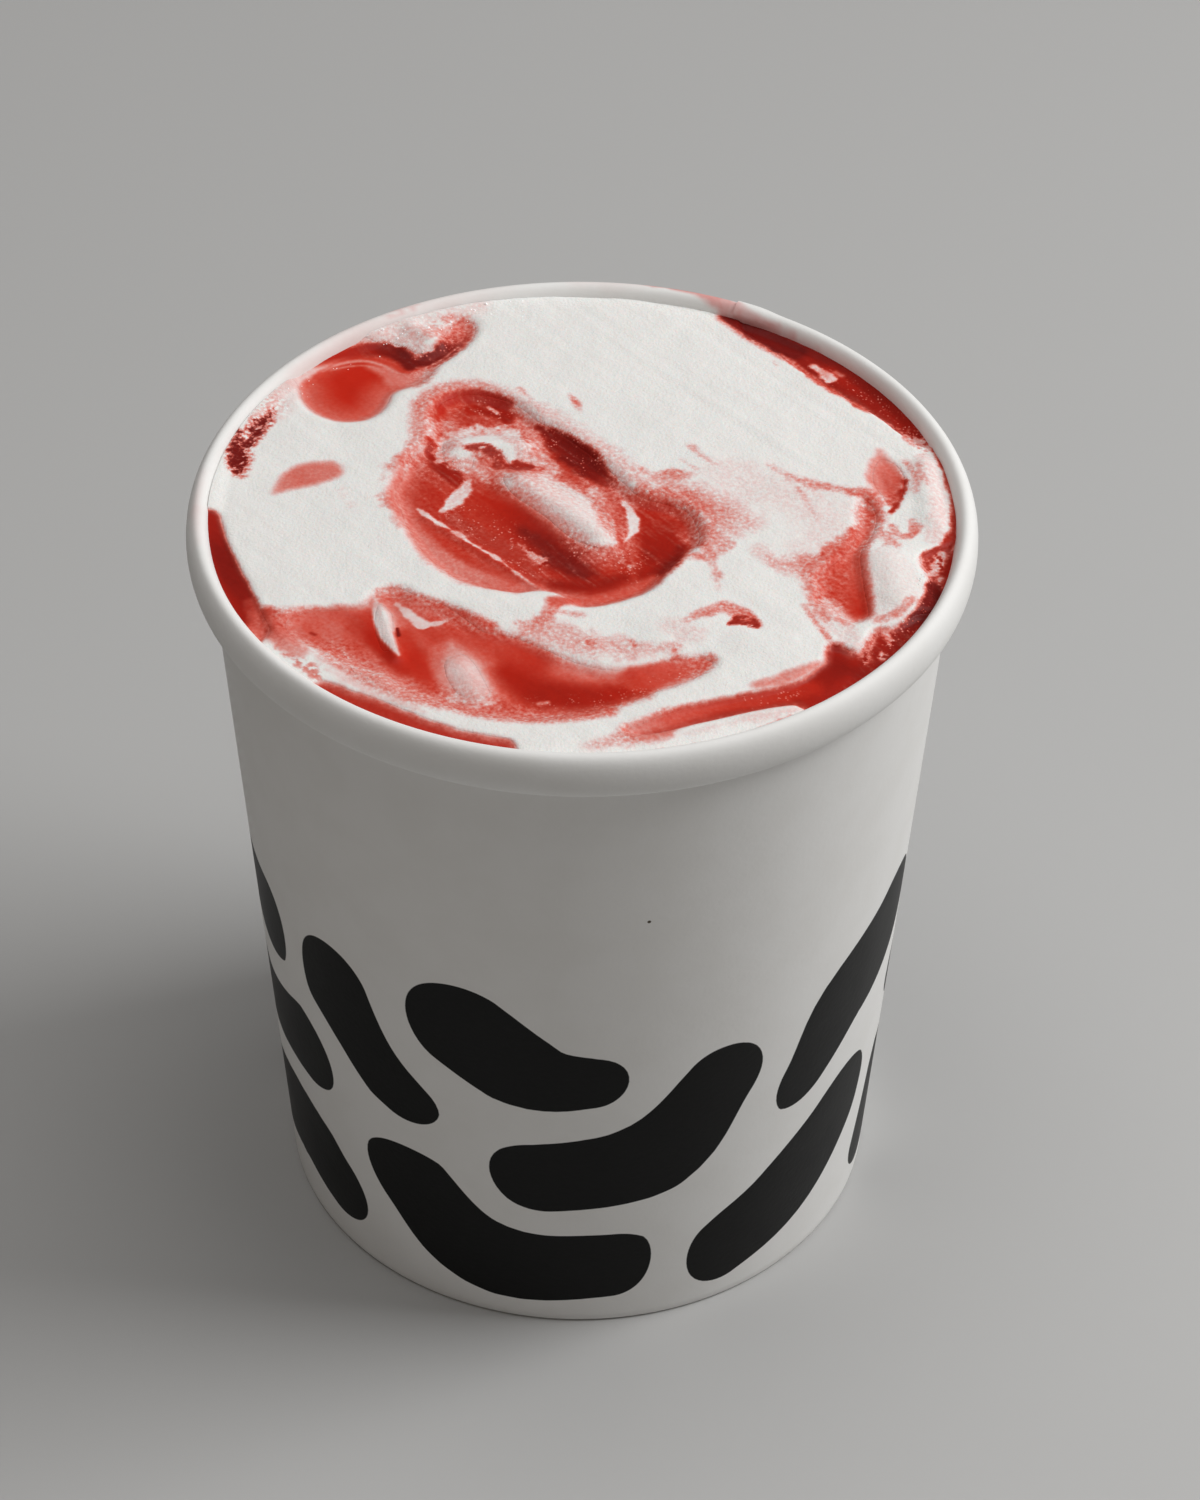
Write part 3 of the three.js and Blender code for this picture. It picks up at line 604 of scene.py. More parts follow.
    Dab(((7.3, -29.8), (7.7, -31)), 0.3, 0.34, 0.1, soft=0.6, ragged=0.4),
    Dab(((15.4, -24.6), (18, -22.9), (20.8, -21.4)), (0.6, 1.0, 0.9), (0.22, 0.34, 0.32), soft=1.4,
        ragged=0.4),
    Dab(((20.6, -21.6), (23, -23.4), (25.4, -26)), (0.9, 1.3, 0.4), (0.34, 0.5, 0.7), soft=1.2, ragged=0.4),
    Dab(((21.6, -25.4), (23, -24.8), (25, -26)), (0.6, 0.8, 0.5), 0.92, 0.6, soft=0.6, ragged=0.9,
        broken=0.15),
    # The right side: spot, pool, block and curls.
    Dab(((44.4, 16), (45, 11.6), (46.4, 6.4), (46, 3.2)), (0.3, 1.7, 1.6, 0.7), (0.25, 0.5, 0.64, 0.7),
        (0.0, 0.0, 0.1, 0.15), soft=1.8, ragged=0.3),
    Dab(((43.6, 13.6), (43.2, 9.6), (44, 6)), (0.4, 0.9, 0.5), (0.3, 0.42, 0.46), soft=1.7, ragged=0.3),
    Dab(((48, 8.4), (47.2, 4.4), (45.6, 1)), (0.3, 0.5, 0.3), 0.95, 0.35, soft=0.7, ragged=0.6),
    Dab(((40.2, -10), (39.8, -16), (40.2, -22.4)), (1.3, 2.2, 1.6), (0.62, 0.74, 0.96), (0.0, 0.0, 0.12),
        soft=2.4, ragged=0.3),
    Dab(((35.4, -20.6), (37, -23.4), (38.4, -25)), (0.8, 1.0, 0.5), 0.2, soft=1.4, ragged=0.6),
    Dab(((45.6, -3), (46.6, -4.8), (48.2, -4.8), (49, -3), (48.6, -1)), 0.6, (0.3, 0.4, 0.36, 0.4, 0.2),
        soft=0.9, ragged=0.5),
    Dab(((51.4, 14), (52.6, 8), (52.8, 0), (51.6, -5.4)), (1.5, 1.7, 1.5, 1.3), 0.07, soft=1.2, ragged=0.6),
    Dab(((50, 12), (51.4, 8)), 0.5, 0.2, soft=1.0, ragged=0.8),
    Dab(((44.4, -9.6), (45.4, -14), (45.7, -18), (44.6, -22)), (2.4, 3.4, 3.4, 2.0), 0.03, soft=0.8,
        ragged=0.35),
    Dab(((47.6, -19.6), (45, -23.4), (42.6, -24.6)), (0.6, 0.9, 0.6), 0.26, soft=1.2, ragged=0.6),
    Dab(((54.6, -3.6), (53.6, -7), (50.4, -9.4)), (0.8, 1.0, 0.9), 0.92, 0.4, soft=0.8, ragged=0.4),
    Dab(((52.8, -9.8), (51.6, -13)), (0.9, 1.2), 0.2, soft=0.8, ragged=0.9, broken=0.2),
    Dab(((52.4, -14.8), (51.8, -16.6)), 0.6, 0.3, 0.2, soft=0.7, ragged=0.9, broken=0.2),
    Dab(((51, -16.8), (50.8, -20), (48.6, -24)), (1.1, 1.7, 1.3), 1.0, 1.0, soft=1.2, ragged=0.3),
    Dab(((48.4, -24), (45.6, -28.4), (42.8, -32.6), (39.4, -36.6)), (0.8, 1.3, 1.6, 1.3), 1.0,
        (1.0, 0.75, 0.65, 0.75), soft=2.0, ragged=0.5),
    Dab(((43.4, -26.2), (44.4, -29.4), (43, -33)), (0.6, 0.6, 0.4), 0.34, 0.2, soft=1.0, ragged=0.9,
        broken=0.4),
    Dab(((36.4, -26), (38.6, -28.6), (40, -31.4)), (1.3, 1.4, 0.4), 0.06, soft=0.7, ragged=0.5),
    Dab(((41.6, -30), (40.6, -34)), 0.7, 0.46, 0.3, soft=1.2, ragged=0.9, broken=0.4),
    Dab(((36.4, -31), (36.8, -35.4), (34, -38.8)), (1.0, 1.9, 1.8), 1.0, (0.55, 0.8, 0.6), soft=2.4,
        ragged=0.2),
    Dab(((33, -40), (26, -42.4), (20, -44)), (1.5, 1.6, 1.4), (0.98, 0.9, 0.84), (0.25, 0.15, 0.05),
        soft=1.6, ragged=0.3),
    Dab(((18.6, -44.6), (12.6, -47), (7, -49.8)), (1.4, 2.0, 1.4), (0.8, 0.64, 0.36), soft=2.4, ragged=0.2),
    Dab(((32, -21.2), (33.6, -25), (35.4, -28.8)), (0.2, 0.35, 0.35), (0.2, 0.36, 0.5), soft=0.7,
        ragged=0.2),
    Dab(((10, -54), (16, -52.8), (21, -51.2), (25.6, -49), (29.6, -46.4)), (0.12, 0.3, 0.25, 0.35, 0.2),
        (0.3, 0.6, 0.5, 0.6, 0.3), soft=0.6, ragged=0.25),
    Dab(((52.6, 17.4), (54.2, 12), (55, 5), (54.9, -3)), (0.8, 0.6, 0.6, 0.8), (0.86, 0.8, 0.8, 0.9), 0.35,
        soft=0.8, ragged=0.35),
    # The back right edge. Its first mark goes to the darkest tone, partly the sauce's own dark crimson and
    # partly painted shade where the sauce lies in the shade of the wall.
    Dab(((22, 50), (27, 45.6), (32, 41)), (1.0, 2.1, 2.1), 1.0, 1.1, soft=2.2, ragged=0.1),
    Dab(((38, 36), (44, 29), (49.4, 21.6)), (1.6, 1.8, 1.2), 1.0, (0.45, 0.65, 0.5), soft=2.4, ragged=0.4),
    Dab(((30.4, 40.4), (34, 35.6), (38.6, 30.4), (43.6, 25.2)), (0.2, 0.45, 0.35, 0.2), 0.66, 0.1, soft=0.8,
        ragged=0.5),
    Dab(((35.6, 37), (36.4, 35.8), (37.6, 34)), (0.8, 0.7, 1.0), (0.12, 0.3, 0.14), soft=0.7, ragged=0.7),
    Dab(((38.8, 35.8), (39.4, 35)), 0.4, 0.55, 0.1, soft=0.7, ragged=0.5),
    Dab(((48.4, 20), (50, 18), (51.4, 16.4)), (0.9, 1.5, 1.0), (0.4, 0.24, 0.3), 0.1, soft=0.7, ragged=1.2,
        broken=0.2),
    Dab(((29.2, 38.4), (29.6, 37.6)), 0.25, 0.1, 0.3, soft=0.5),
)

# Where white frost lies on the sauce.
FROSTED = (
    Dab(((-18, 0), (-12, -6), (-7, -14)), (2.6, 3.4, 2.4), 0.0, soft=3.0),
    Dab(((-4, 18), (1, 12)), 2.6, 0.0, soft=2.0),
    Dab(((-1, -8), (6, -11), (9, -14)), 2.8, 0.0, soft=3.0),
    Dab(((8, 4), (14, 2)), 2.2, 0.0, soft=3.0),
    Dab(((-22, 16), (-18, 8)), 1.6, 0.0, soft=2.0),
    Dab(((-8, -44), (4, -43), (14, -38)), (0.8, 1.4, 2.0), 0.0, soft=2.6),
    Dab(((-17, 27), (-12, 24)), 2.0, 0.0, soft=2.0),
    Dab(((35, 37), (46, 27), (51, 18)), (1.6, 1.6, 2.0), 0.0, soft=2.0),
    Dab(((51, -12), (47, -26), (41, -33)), 1.5, 0.0, soft=2.0),
    Dab(((-26, 39), (-20, 43)), 1.4, 0.0, soft=2.0),
    Dab(((-36, -33), (-30, -38)), 1.6, 0.0, soft=2.0),
    Dab(((24, -43), (30, -41)), 1.4, 0.0, soft=2.0),
)

# How coarse the colour's fine grain is: 1 where nothing is laid, less in the smooth pools.
GRIT = (
    Dab(((-39, 33), (-36.5, 28.5), (-33.5, 31)), 7.5, 0.25, soft=3.0),
    Dab(((-45, 5), (-39, 9.4)), 4.0, 0.3, soft=2.0),
    Dab(((-27, 8), (-25.6, -3), (-20.4, -11), (-11, -17), (2, -20), (10, -16)), 2.6, 0.45, soft=2.0),
    Dab(((-39, -27), (-30, -26), (-22, -33), (-12, -36), (-2, -40), (11, -37.6)),
        (3.0, 6.0, 6.0, 6.0, 5.0, 3.4), 0.3, soft=4.0),
    Dab(((-12, -8), (-6, -2), (-14, 0)), 4.0, 0.6, soft=4.0),
    Dab(((10, -49.6), (20, -44.6), (33, -40.4), (37, -35)), 2.6, 0.35, soft=2.0),
    Dab(((25, -39.4), (33.6, -34.6)), 2.0, 0.4, soft=1.5),
    Dab(((44.6, 15), (44.8, 8)), 2.6, 0.3, soft=2.0),
    Dab(((41, -11), (40.4, -23)), 2.0, 0.5, soft=2.0),
    Dab(((-55, 0), (-51, -16), (-44, -30), (-30, -44), (-10, -53)), 2.6, 0.4, soft=2.0),
    Dab(((23, 51), (34, 42), (50, 24)), 3.0, 0.5, soft=2.0),
    Dab(((-47.6, 25.2), (-48.8, 20), (-49.8, 16.6)), 3.0, 2.1, soft=1.0),
    Dab(((-52, 19.4), (-51.7, 16.4), (-51, 8.6)), 3.0, 2.1, soft=1.0),
)

# What the sauce has left on the paper of the rim. These lie where they are on the roll.
RIM_STAINS = (
    Dab(((9, 56.7), (13, 55.9), (17, 54.7), (20.4, 53), (23.4, 50.8)), (0.3, 0.5, 0.8, 1.1, 1.1),
        (0.5, 0.7, 0.66, 0.6, 0.46), soft=0.8, ragged=0.35),
    Dab(((21.6, 50.6), (27.4, 47.6), (33.8, 43.2), (41.6, 35.4)), (1.0, 0.7, 0.4, 0.2),
        (0.5, 0.5, 0.3, 0.1), soft=1.0, ragged=0.6),
    Dab(((-2, 57), (9, 56.4)), 1.0, 0.08, soft=1.6, ragged=0.5),
    Dab(((-44, 34), (-36, 43), (-24, 51), (-12, 55.6)), 1.3, (0.06, 0.13, 0.1, 0.03), soft=2.0, ragged=0.8),
    Dab(((-30, 48.2), (-26, 50.4)), 0.6, 0.3, soft=1.0, ragged=0.8, broken=0.3),
    Dab(((-56.4, 8), (-57, 0), (-56, -10)), 0.6, (0.04, 0.16, 0.05), soft=1.4, ragged=0.4),
)


class TopPlan:
    """The top of the contents, worked out in plan."""

    # The sauce stands LIFT out of its dip, and the ice cream dips by COVERED under it, from one to the
    # other of two distances inside the sauce's edge.
    LIFT = 0.05
    COVERED = 0.45
    COVER_BAND = (-0.1, 0.9)
    # The fall at the wall.
    EDGE_DROP = 0.25
    EDGE_BAND = 3.0
    # How far and within what distance of the wall the back right sauce creeps up the paper.
    BACK_RIGHT = "ripple_back_right_edge"
    CREEP = 0.7
    CREEP_BAND = (1.6, -0.2)
    # The same for frost at the back left, between two angles where it fades out.
    FROST_CREEP = 0.8
    FROST_BAND = 2.6
    FROSTED_WALL = (100.0, 190.0)
    FROST_FADE = 14.0
    # Fine relief, each with its depth.
    SCRAPES = Grain(3, 1.6, stretch=22, turn_deg=-47)
    SCRAPE_DEPTH = 0.05
    SCRAPE_EDGE = (0.1, 0.5)
    SWELLS = ((Grain(4, 6.0, octaves=2), 0.10), (Grain(5, 0.9, octaves=2), 0.02))
    # Streaks in the sauce and in its tone, and fine white fibres in the sauce, each with its strength.
    STREAKS = Grain(12, 0.8, stretch=7, turn_deg=-52, octaves=2)
    STREAKED = 0.16
    STREAKED_TONE = 0.05
    FIBRES = Grain(14, 0.4, stretch=10, turn_deg=-50, octaves=2)
    FIBROUS = 0.22
    # How far in front of the axis and above the level the marks are seen from.
    SEEN_FROM = (585.0, 452.0)

    def __init__(self, shape: TubShape, outlines: dict[str, list[Outline]]) -> None:
        """Keeps the outlines of the ripple's parts.

        Args:
            shape: Sizes of the tub.
            outlines: For each part of the ripple its outline and then its islands.
        """
        self.shape = shape
        self.outlines = outlines

    def pocket_depth(self, name: str, x: Array, y: Array) -> Array:
        """Distance of spots from the edge of one part of the ripple, positive where sauce is."""
        outer, *islands = self.outlines[name]
        depth = outer.depth(x, y)
        for island in islands:
            depth = np.minimum(depth, -island.depth(x, y))
        return depth

    def height(self, x: Array, y: Array, depths: dict[str, Array]) -> Array:
        """Height of the top.

        Args:
            x: Spots, to the right.
            y: Spots, away from the front.
            depths: Distance of the spots from the edge of each part of the ripple.

        Returns:
            Heights above the table.
        """
        z = np.full(x.shape, self.shape.level)
        for name, look in RIPPLES.items():
            z -= look.sink * smoothstep(-look.slope, look.slope, self.outlines[name][0].depth(x, y))
        for ridge in RIDGES:
            away, _ = reach(np.array([ridge.start, ridge.end], float), x, y)
            z += ridge.rise * np.exp(-2.0 * (away / ridge.width) ** 2)
        to_wall = self.shape.wall_inside(self.shape.level) - np.hypot(x, y)
        z -= self.EDGE_DROP * (1 - smoothstep(0.0, self.EDGE_BAND, to_wall))
        z += (self.CREEP * smoothstep(*self.CREEP_BAND, to_wall)
              * smoothstep(-1.0, 1.0, depths[self.BACK_RIGHT]))
        turn = np.degrees(np.arctan2(y, x)) % 360
        (low, high), fade = self.FROSTED_WALL, self.FROST_FADE
        z += (self.FROST_CREEP * smoothstep(self.FROST_BAND, 0.0, to_wall)
              * smoothstep(low - fade, low + fade, turn) * smoothstep(high + fade, high - fade, turn))
        scrapes = self.SCRAPES.at(x, y)
        z += self.SCRAPE_DEPTH * scrapes * smoothstep(*self.SCRAPE_EDGE, np.abs(scrapes))
        for grain, depth in self.SWELLS:
            z += depth * grain.at(x, y)
        return z

    def dip(self, depths: dict[str, Array]) -> Array:
        """How far the ice cream lies below the top, where sauce covers it."""
        covers = [smoothstep(*self.COVER_BAND, depth) for depth in depths.values()]
        return self.COVERED * np.max(covers, axis=0)

    def paint(self, x: Array, y: Array, z: Array, depths: dict[str, Array]) -> dict[str, Array]:
        """The colours of the top, as numbers from 0 to 1.

        A mark is given where the view from the front shows it on the plane of the level, so on a lower
        spot it lies a little further back.

        Args:
            x: Spots, to the right.
            y: Spots, away from the front.
            z: Their heights.
            depths: Distance of the spots from the edge of each part of the ripple.

        Returns:
            sauce, how much of it shows; tone, how dark it is; frost, how much white frost lies on it;
            grit, how coarse its fine grain is.
        """
        off, above = self.SEEN_FROM
        seen = y - (self.shape.level - z) * (off + y) / above
        wander = Dab.WANDER.at(x, y)
        sauce, tone, frost = (np.zeros(x.shape) for _ in range(3))
        grit = np.ones(x.shape)

        def lay(dabs: Iterable[Dab]) -> None:
            """Lays marks over the sauce and the tone."""
            for dab in dabs:
                cover, along = dab.mask(x, seen)
                sauce[:] += (spread(dab.sauce, along) - sauce) * cover
                tone[:] += (spread(dab.tone, along) - tone) * cover

        lay(HAZE)
        for name, look in RIPPLES.items():
            thick, edge = look.cover(depths[name] + look.ragged * wander)
            sauce = np.maximum(sauce, look.sauce * thick)
            tone += (look.tone - tone) * edge
        lay(MARKS)
        for dab in FROSTED:
            frost = np.maximum(frost, dab.mask(x, seen)[0])
        for dab in GRIT:
            grit += (dab.sauce - grit) * dab.mask(x, seen)[0]
        streaks, fibres = self.STREAKS.at(x, y), self.FIBRES.at(x, y)
        sauce += self.STREAKED * streaks * sauce * (1.0 - sauce)
        sauce -= self.FIBROUS * np.maximum(fibres, 0.0) * smoothstep(0.5, 1.0, grit) * sauce
        tone += self.STREAKED_TONE * streaks * tone
        return {"sauce": np.clip(sauce, 0.0, 1.0), "tone": np.clip(tone, 0.0, 1.0),
                "frost": frost, "grit": grit}

    def depths(self, x: Array, y: Array) -> dict[str, Array]:
        """Distance of spots from the edge of each part of the ripple."""
        return {name: self.pocket_depth(name, x, y) for name in RIPPLES}


# ---- Materials ---------------------------------------------------------------------------------------


class Wire:
    """A node's socket that takes part in Python arithmetic."""

    def __init__(self, shader: "Shader", socket: bpy.types.NodeSocket) -> None:
        """Wraps a socket of a shader."""
        self.shader = shader
        self.socket = socket

    def _math(self, operation: str, *operands: Operand) -> "Wire":
        """Adds a Math node."""
        return self.shader.node("ShaderNodeMath", {"operation": operation}, dict(enumerate(operands)))

    def __add__(self, other: Operand) -> "Wire":
        """self + other."""
        return self._math("ADD", self, other)

    __radd__ = __add__

    def __sub__(self, other: Operand) -> "Wire":
        """self - other."""
        return self._math("SUBTRACT", self, other)

    def __rsub__(self, other: Operand) -> "Wire":
        """other - self."""
        return self._math("SUBTRACT", other, self)

    def __mul__(self, other: Operand) -> "Wire":
        """self * other."""
        return self._math("MULTIPLY", self, other)

    __rmul__ = __mul__

    def clamped(self) -> "Wire":
        """The value kept between 0 and 1."""
        return self.shader.node("ShaderNodeClamp", {}, {"Value": self})

    def step(self, low: float, high: float) -> "Wire":
        """A smooth rise from 0 at low to 1 at high."""
        return self.shader.node("ShaderNodeMapRange", {"interpolation_type": "SMOOTHSTEP"},
                                {"Value": self, "From Min": low, "From Max": high})


class Shader:
    """A material made of nodes."""

    def __init__(self, name: str) -> None:
        """Starts a material with an empty node tree."""
        self.material = bpy.data.materials.new(name)
        self.material.use_nodes = True
        self.tree = self.material.node_tree
        self.tree.nodes.clear()

    def node(self, kind: str, settings: dict[str, Any], inputs: dict[str | int, Operand],
             output: str | int = 0) -> Wire:
        """Adds a node.

        Args:
            kind: The node's type.
            settings: Its own settings, set first. stops are a colour ramp's.
            inputs: A value or a wire for each socket.
            output: The socket that is wanted.

        Returns:
            That socket as a wire.
        """
        made = self.tree.nodes.new(kind)
        for key, value in settings.items():
            if key == "stops":
                ramp = made.color_ramp
                while len(ramp.elements) < len(value):
                    ramp.elements.new(0.5)
                for element, (place, colour) in zip(ramp.elements, value):
                    element.position = place
                    element.color = (*colour, 1.0)
            else:
                setattr(made, key, value)
        for key, value in inputs.items():
            if isinstance(value, Wire):
                self.tree.links.new(value.socket, made.inputs[key])
            else:
                made.inputs[key].default_value = value
        return Wire(self, made.outputs[output])

    def attribute(self, name: str) -> Wire:
        """A number kept at the mesh's vertices."""
        return self.node("ShaderNodeAttribute", {"attribute_name": name}, {}, "Fac")

    def place(self) -> Wire:
        """Object coordinates, in metres."""
        return self.node("ShaderNodeTexCoord", {}, {}, "Object")

    def noise(self, size: float, detail: float = 2.0, stretch: Point | None = None,
              turn_deg: float = 0.0) -> Wire:
        """Noise from 0 to 1.

        Args:
            size: Width of a bump in millimetres.
            detail: Finer layers on it.
            stretch: How many times longer a bump is along and across the turned X, if it is drawn out.
            turn_deg: How far the pattern is turned about Z.

        Returns:
            The noise.
        """
        where = self.place()
        if stretch:
            where = self.node("ShaderNodeMapping", {}, {
                "Vector": where, "Rotation": (0.0, 0.0, math.radians(-turn_deg)),
                "Scale": (1.0 / stretch[0], 1.0 / stretch[1], 1.0)})
        return self.node("ShaderNodeTexNoise", {},
                         {"Vector": where, "Scale": 1.0 / (size * MM), "Detail": detail})

    def mix(self, factor: Operand, first: Operand, second: Operand) -> Wire:
        """A mix of two colours."""
        first, second = ((*c, 1.0) if isinstance(c, tuple) else c for c in (first, second))
        return self.node("ShaderNodeMix", {"data_type": "RGBA"}, {0: factor, 6: first, 7: second}, 2)

    def bump(self, height: Wire, depth: float) -> Wire:
        """A normal bent by a height of 0 to 1, for a relief of a depth in millimetres."""
        return self.node("ShaderNodeBump", {}, {"Height": height, "Distance": depth * MM, "Strength": 1.0})

    def surface(self, **inputs: Operand) -> bpy.types.Material:
        """Ends the material with its surface.

        Args:
            inputs: The surface's sockets, with _ for a space.

        Returns:
            The material.
        """
        named = {key.replace("_", " "): value for key, value in inputs.items()}
        shaded = self.node("ShaderNodeBsdfPrincipled", {}, named)
        self.node_output(shaded)
        return self.material

    def node_output(self, shaded: Wire) -> None:
        """Links a surface to the material's output."""
        made = self.tree.nodes.new("ShaderNodeOutputMaterial")
        self.tree.links.new(shaded.socket, made.inputs["Surface"])


@dataclass(frozen=True)
class SauceRamp:
    """The colour of ice cream under more and more sauce, from the palest stain to a thick pool.

    Attributes:
        stops: Amounts of sauce, each with its colour.
        dark: What the darkest sauce shades to; it also gives the painted shade at the back right edge.
        fray_size: Width of the fine grain that frays the sauce's edges.
        fray: How far it shifts the amount of sauce there.
        fray_tone: How far it shifts the tone of thick sauce.
        frosted: Share of the sauce that full frost hides.
        frosted_tone: Share of its dark tone that full frost hides.
    """

    stops: tuple[tuple[float, tuple[float, float, float]], ...] = (
        (0.00, (0.86, 0.85, 0.825)),
        (0.07, (0.83, 0.68, 0.66)),
        (0.18, (0.79, 0.46, 0.43)),
        (0.30, (0.76, 0.31, 0.27)),
        (0.45, (0.72, 0.185, 0.145)),
        (0.65, (0.67, 0.090, 0.058)),
        (0.85, (0.60, 0.044, 0.022)),
        (1.00, (0.56, 0.018, 0.006)),
    )
    dark: tuple[float, float, float] = (0.170, 0.006, 0.004)
    fray_size: float = 0.6
    fray: float = 1.25
    fray_tone: float = 0.2
    frosted: float = 0.55
    frosted_tone: float = 0.6

    def colour(self, shader: Shader, frost: Wire) -> tuple[Wire, Wire]:
        """The colour of the top.

        Args:
            shader: The material's shader.
            frost: How much white frost lies at a spot.

        Returns:
            The colour, and how much sauce shows.
        """
        fray = (shader.noise(self.fray_size, detail=6.0) - 0.5) * shader.attribute("grit")
        sauce = shader.attribute("sauce")
        edge = (sauce * (1.0 - sauce)) * 4.0
        sauce = sauce + fray * edge * self.fray
        sauce = (sauce * (1.0 - self.frosted * frost)).clamped()
        base = shader.node("ShaderNodeValToRGB", {"stops": self.stops}, {0: sauce})
        tone = shader.attribute("tone") + fray * self.fray_tone * sauce.step(0.5, 1.0)
        tone = tone * sauce.step(0.35, 0.8)
        return shader.mix((tone * (1.0 - frost * self.frosted_tone)).clamped(), base, self.dark), sauce


@dataclass(frozen=True)
class Contents:
    """The finish of the ice cream, or of the ripple in it. Widths and depths are in millimetres.

    Attributes:
        name: The material's name.
        grain: Depth of the fine icy grain.
        glow: Share of the light that goes in and out again.
        glow_depth: How deep it goes.
        gloss: Strength of the sheen.
        sauce_roughness: Roughness of thick sauce.
        cream_roughness: Roughness of plain ice cream.
        roughened: How much the crystals add to the roughness.
        speck: Width of a speck of frost.
        flurry: Width of the patches that the specks lie in.
        mottle: Width of the faint cloudy shades, and how much they shade.
        grit: Width of the fine shades, and how much they shade.
        shade: Colour of both.
        crystals: Width of an ice crystal's bump.
        lumps: Width of a larger bump.
        scrape: Width of a scrape, how much longer it is, and its direction.
    """

    name: str
    grain: float
    glow: float = 0.2
    glow_depth: float = 1.2
    gloss: float = 0.22
    sauce_roughness: float = 0.36
    cream_roughness: float = 0.62
    roughened: float = 0.1
    speck: float = 0.55
    flurry: float = 2.2
    mottle: tuple[float, float] = (7.0, 0.06)
    grit: tuple[float, float] = (0.5, 0.09)
    shade: tuple[float, float, float] = (0.58, 0.56, 0.54)
    crystals: float = 0.42
    lumps: float = 1.6
    scrape: tuple[float, float, float] = (1.0, 30.0, -47.0)

    def material(self) -> bpy.types.Material:
        """Makes the material."""
        shader = Shader(self.name)
        specks = shader.node("ShaderNodeTexVoronoi", {"feature": "F1"},
                             {"Vector": shader.place(), "Scale": 1.0 / (self.speck * MM), "Randomness": 1.0})
        flurries = shader.noise(self.flurry, detail=3.0)
        frost = shader.attribute("frost") * (1.0 - specks.step(0.14, 0.40)) * flurries.step(0.40, 0.58)
        colour, sauce = SauceRamp().colour(shader, frost)
        (mottle_size, mottled), (grit_size, gritty) = self.mottle, self.grit
        mottle = shader.noise(mottle_size, detail=4.0).step(0.3, 0.7)
        grit = shader.noise(grit_size, detail=4.0).step(0.35, 0.75)
        shaded = shader.mix((mottle * mottled + grit * gritty) * (1.0 - sauce), colour, self.shade)
        crystals = shader.noise(self.crystals, detail=3.0)
        lumps = shader.noise(self.lumps)
        scrape, longer, turn = self.scrape
        scrapes = shader.noise(scrape, detail=3.0, stretch=(longer, 1.0), turn_deg=turn)
        relief = crystals * 0.6 + lumps * 0.35 + scrapes * 0.12 + frost * 0.6
        smoother = self.sauce_roughness - self.cream_roughness
        roughness = self.cream_roughness + smoother * sauce.step(0.25, 0.9) + crystals * self.roughened
        return shader.surface(Base_Color=shaded, Roughness=roughness, IOR=1.36,
                              Subsurface_Weight=self.glow, Subsurface_Radius=(1.0, 0.6, 0.5),
                              Subsurface_Scale=self.glow_depth * MM, Specular_IOR_Level=self.gloss,
                              Normal=shader.bump(relief * (1.0 - sauce * 0.75), self.grain))


@dataclass(frozen=True)
class Paperboard:
    """Coated white paperboard, printed in black, with a red stain on its rim.

    Attributes:
        speck: Where the dark speck lies, in millimetres.
        name: The material's name.
        white: The paper's colour.
        shade: What its faint clouds shade to.
        ink: The print's colour.
        ink_blur: Half the width of the print's soft edge.
        stain: The stain's colour.
        speck_colour: The speck's colour.
        speck_radius: Half the speck's width.
        roughness: Roughness of bare paper.
        inked: How much smoother the print is.
        gloss: Strength of the sheen.
        fibre: Width of a fibre's bump.
        cloud: Width of a larger, softer bump.
        scuff: Width of a fine upright scuff, and how much longer it is.
        grain: Depth of the relief.
    """

    speck: tuple[float, float, float]
    name: str = "coated_paperboard"
    white: tuple[float, float, float] = (0.84, 0.835, 0.82)
    shade: tuple[float, float, float] = (0.78, 0.77, 0.745)
    ink: tuple[float, float, float] = (0.004, 0.004, 0.0038)
    ink_blur: float = 0.07
    stain: tuple[float, float, float] = (0.66, 0.085, 0.06)
    speck_colour: tuple[float, float, float] = (0.10, 0.08, 0.06)
    speck_radius: float = 0.35
    roughness: float = 0.56
    inked: float = 0.16
    gloss: float = 0.22
    fibre: float = 0.9
    cloud: float = 9.0
    scuff: Point = (0.5, 12.0)
    grain: float = 0.045

    def material(self) -> bpy.types.Material:
        """Makes the material."""
        shader = Shader(self.name)
        fibres = shader.noise(self.fibre, detail=5.0)
        clouds = shader.noise(self.cloud, detail=4.0)
        paper = shader.mix(clouds.step(0.35, 0.7) * 0.35 + fibres * 0.12, self.white, self.shade)
        printed = shader.attribute("print_edge").step(-self.ink_blur, self.ink_blur)
        inked = shader.mix(printed, paper, self.ink)
        away = shader.node("ShaderNodeVectorMath", {"operation": "DISTANCE"},
                           {0: shader.place(), 1: tuple(c * MM for c in self.speck)}, "Value")
        clear = away.step(self.speck_radius * 0.6 * MM, self.speck_radius * MM)
        specked = shader.mix(1.0 - clear, inked, self.speck_colour)
        soaked = (shader.attribute("stain") * (0.8 + 0.5 * fibres)).clamped()
        stained = shader.mix(soaked, specked, self.stain)
        scuff, longer = self.scuff
        scuffs = shader.noise(scuff, detail=3.0, stretch=(1.0, longer))
        relief = fibres * 0.6 + clouds * 0.5 + scuffs * 0.1
        roughness = self.roughness - self.inked * printed + 0.08 * clouds
        return shader.surface(Base_Color=stained, Roughness=roughness, IOR=1.34,
                              Specular_IOR_Level=self.gloss, Normal=shader.bump(relief, self.grain))


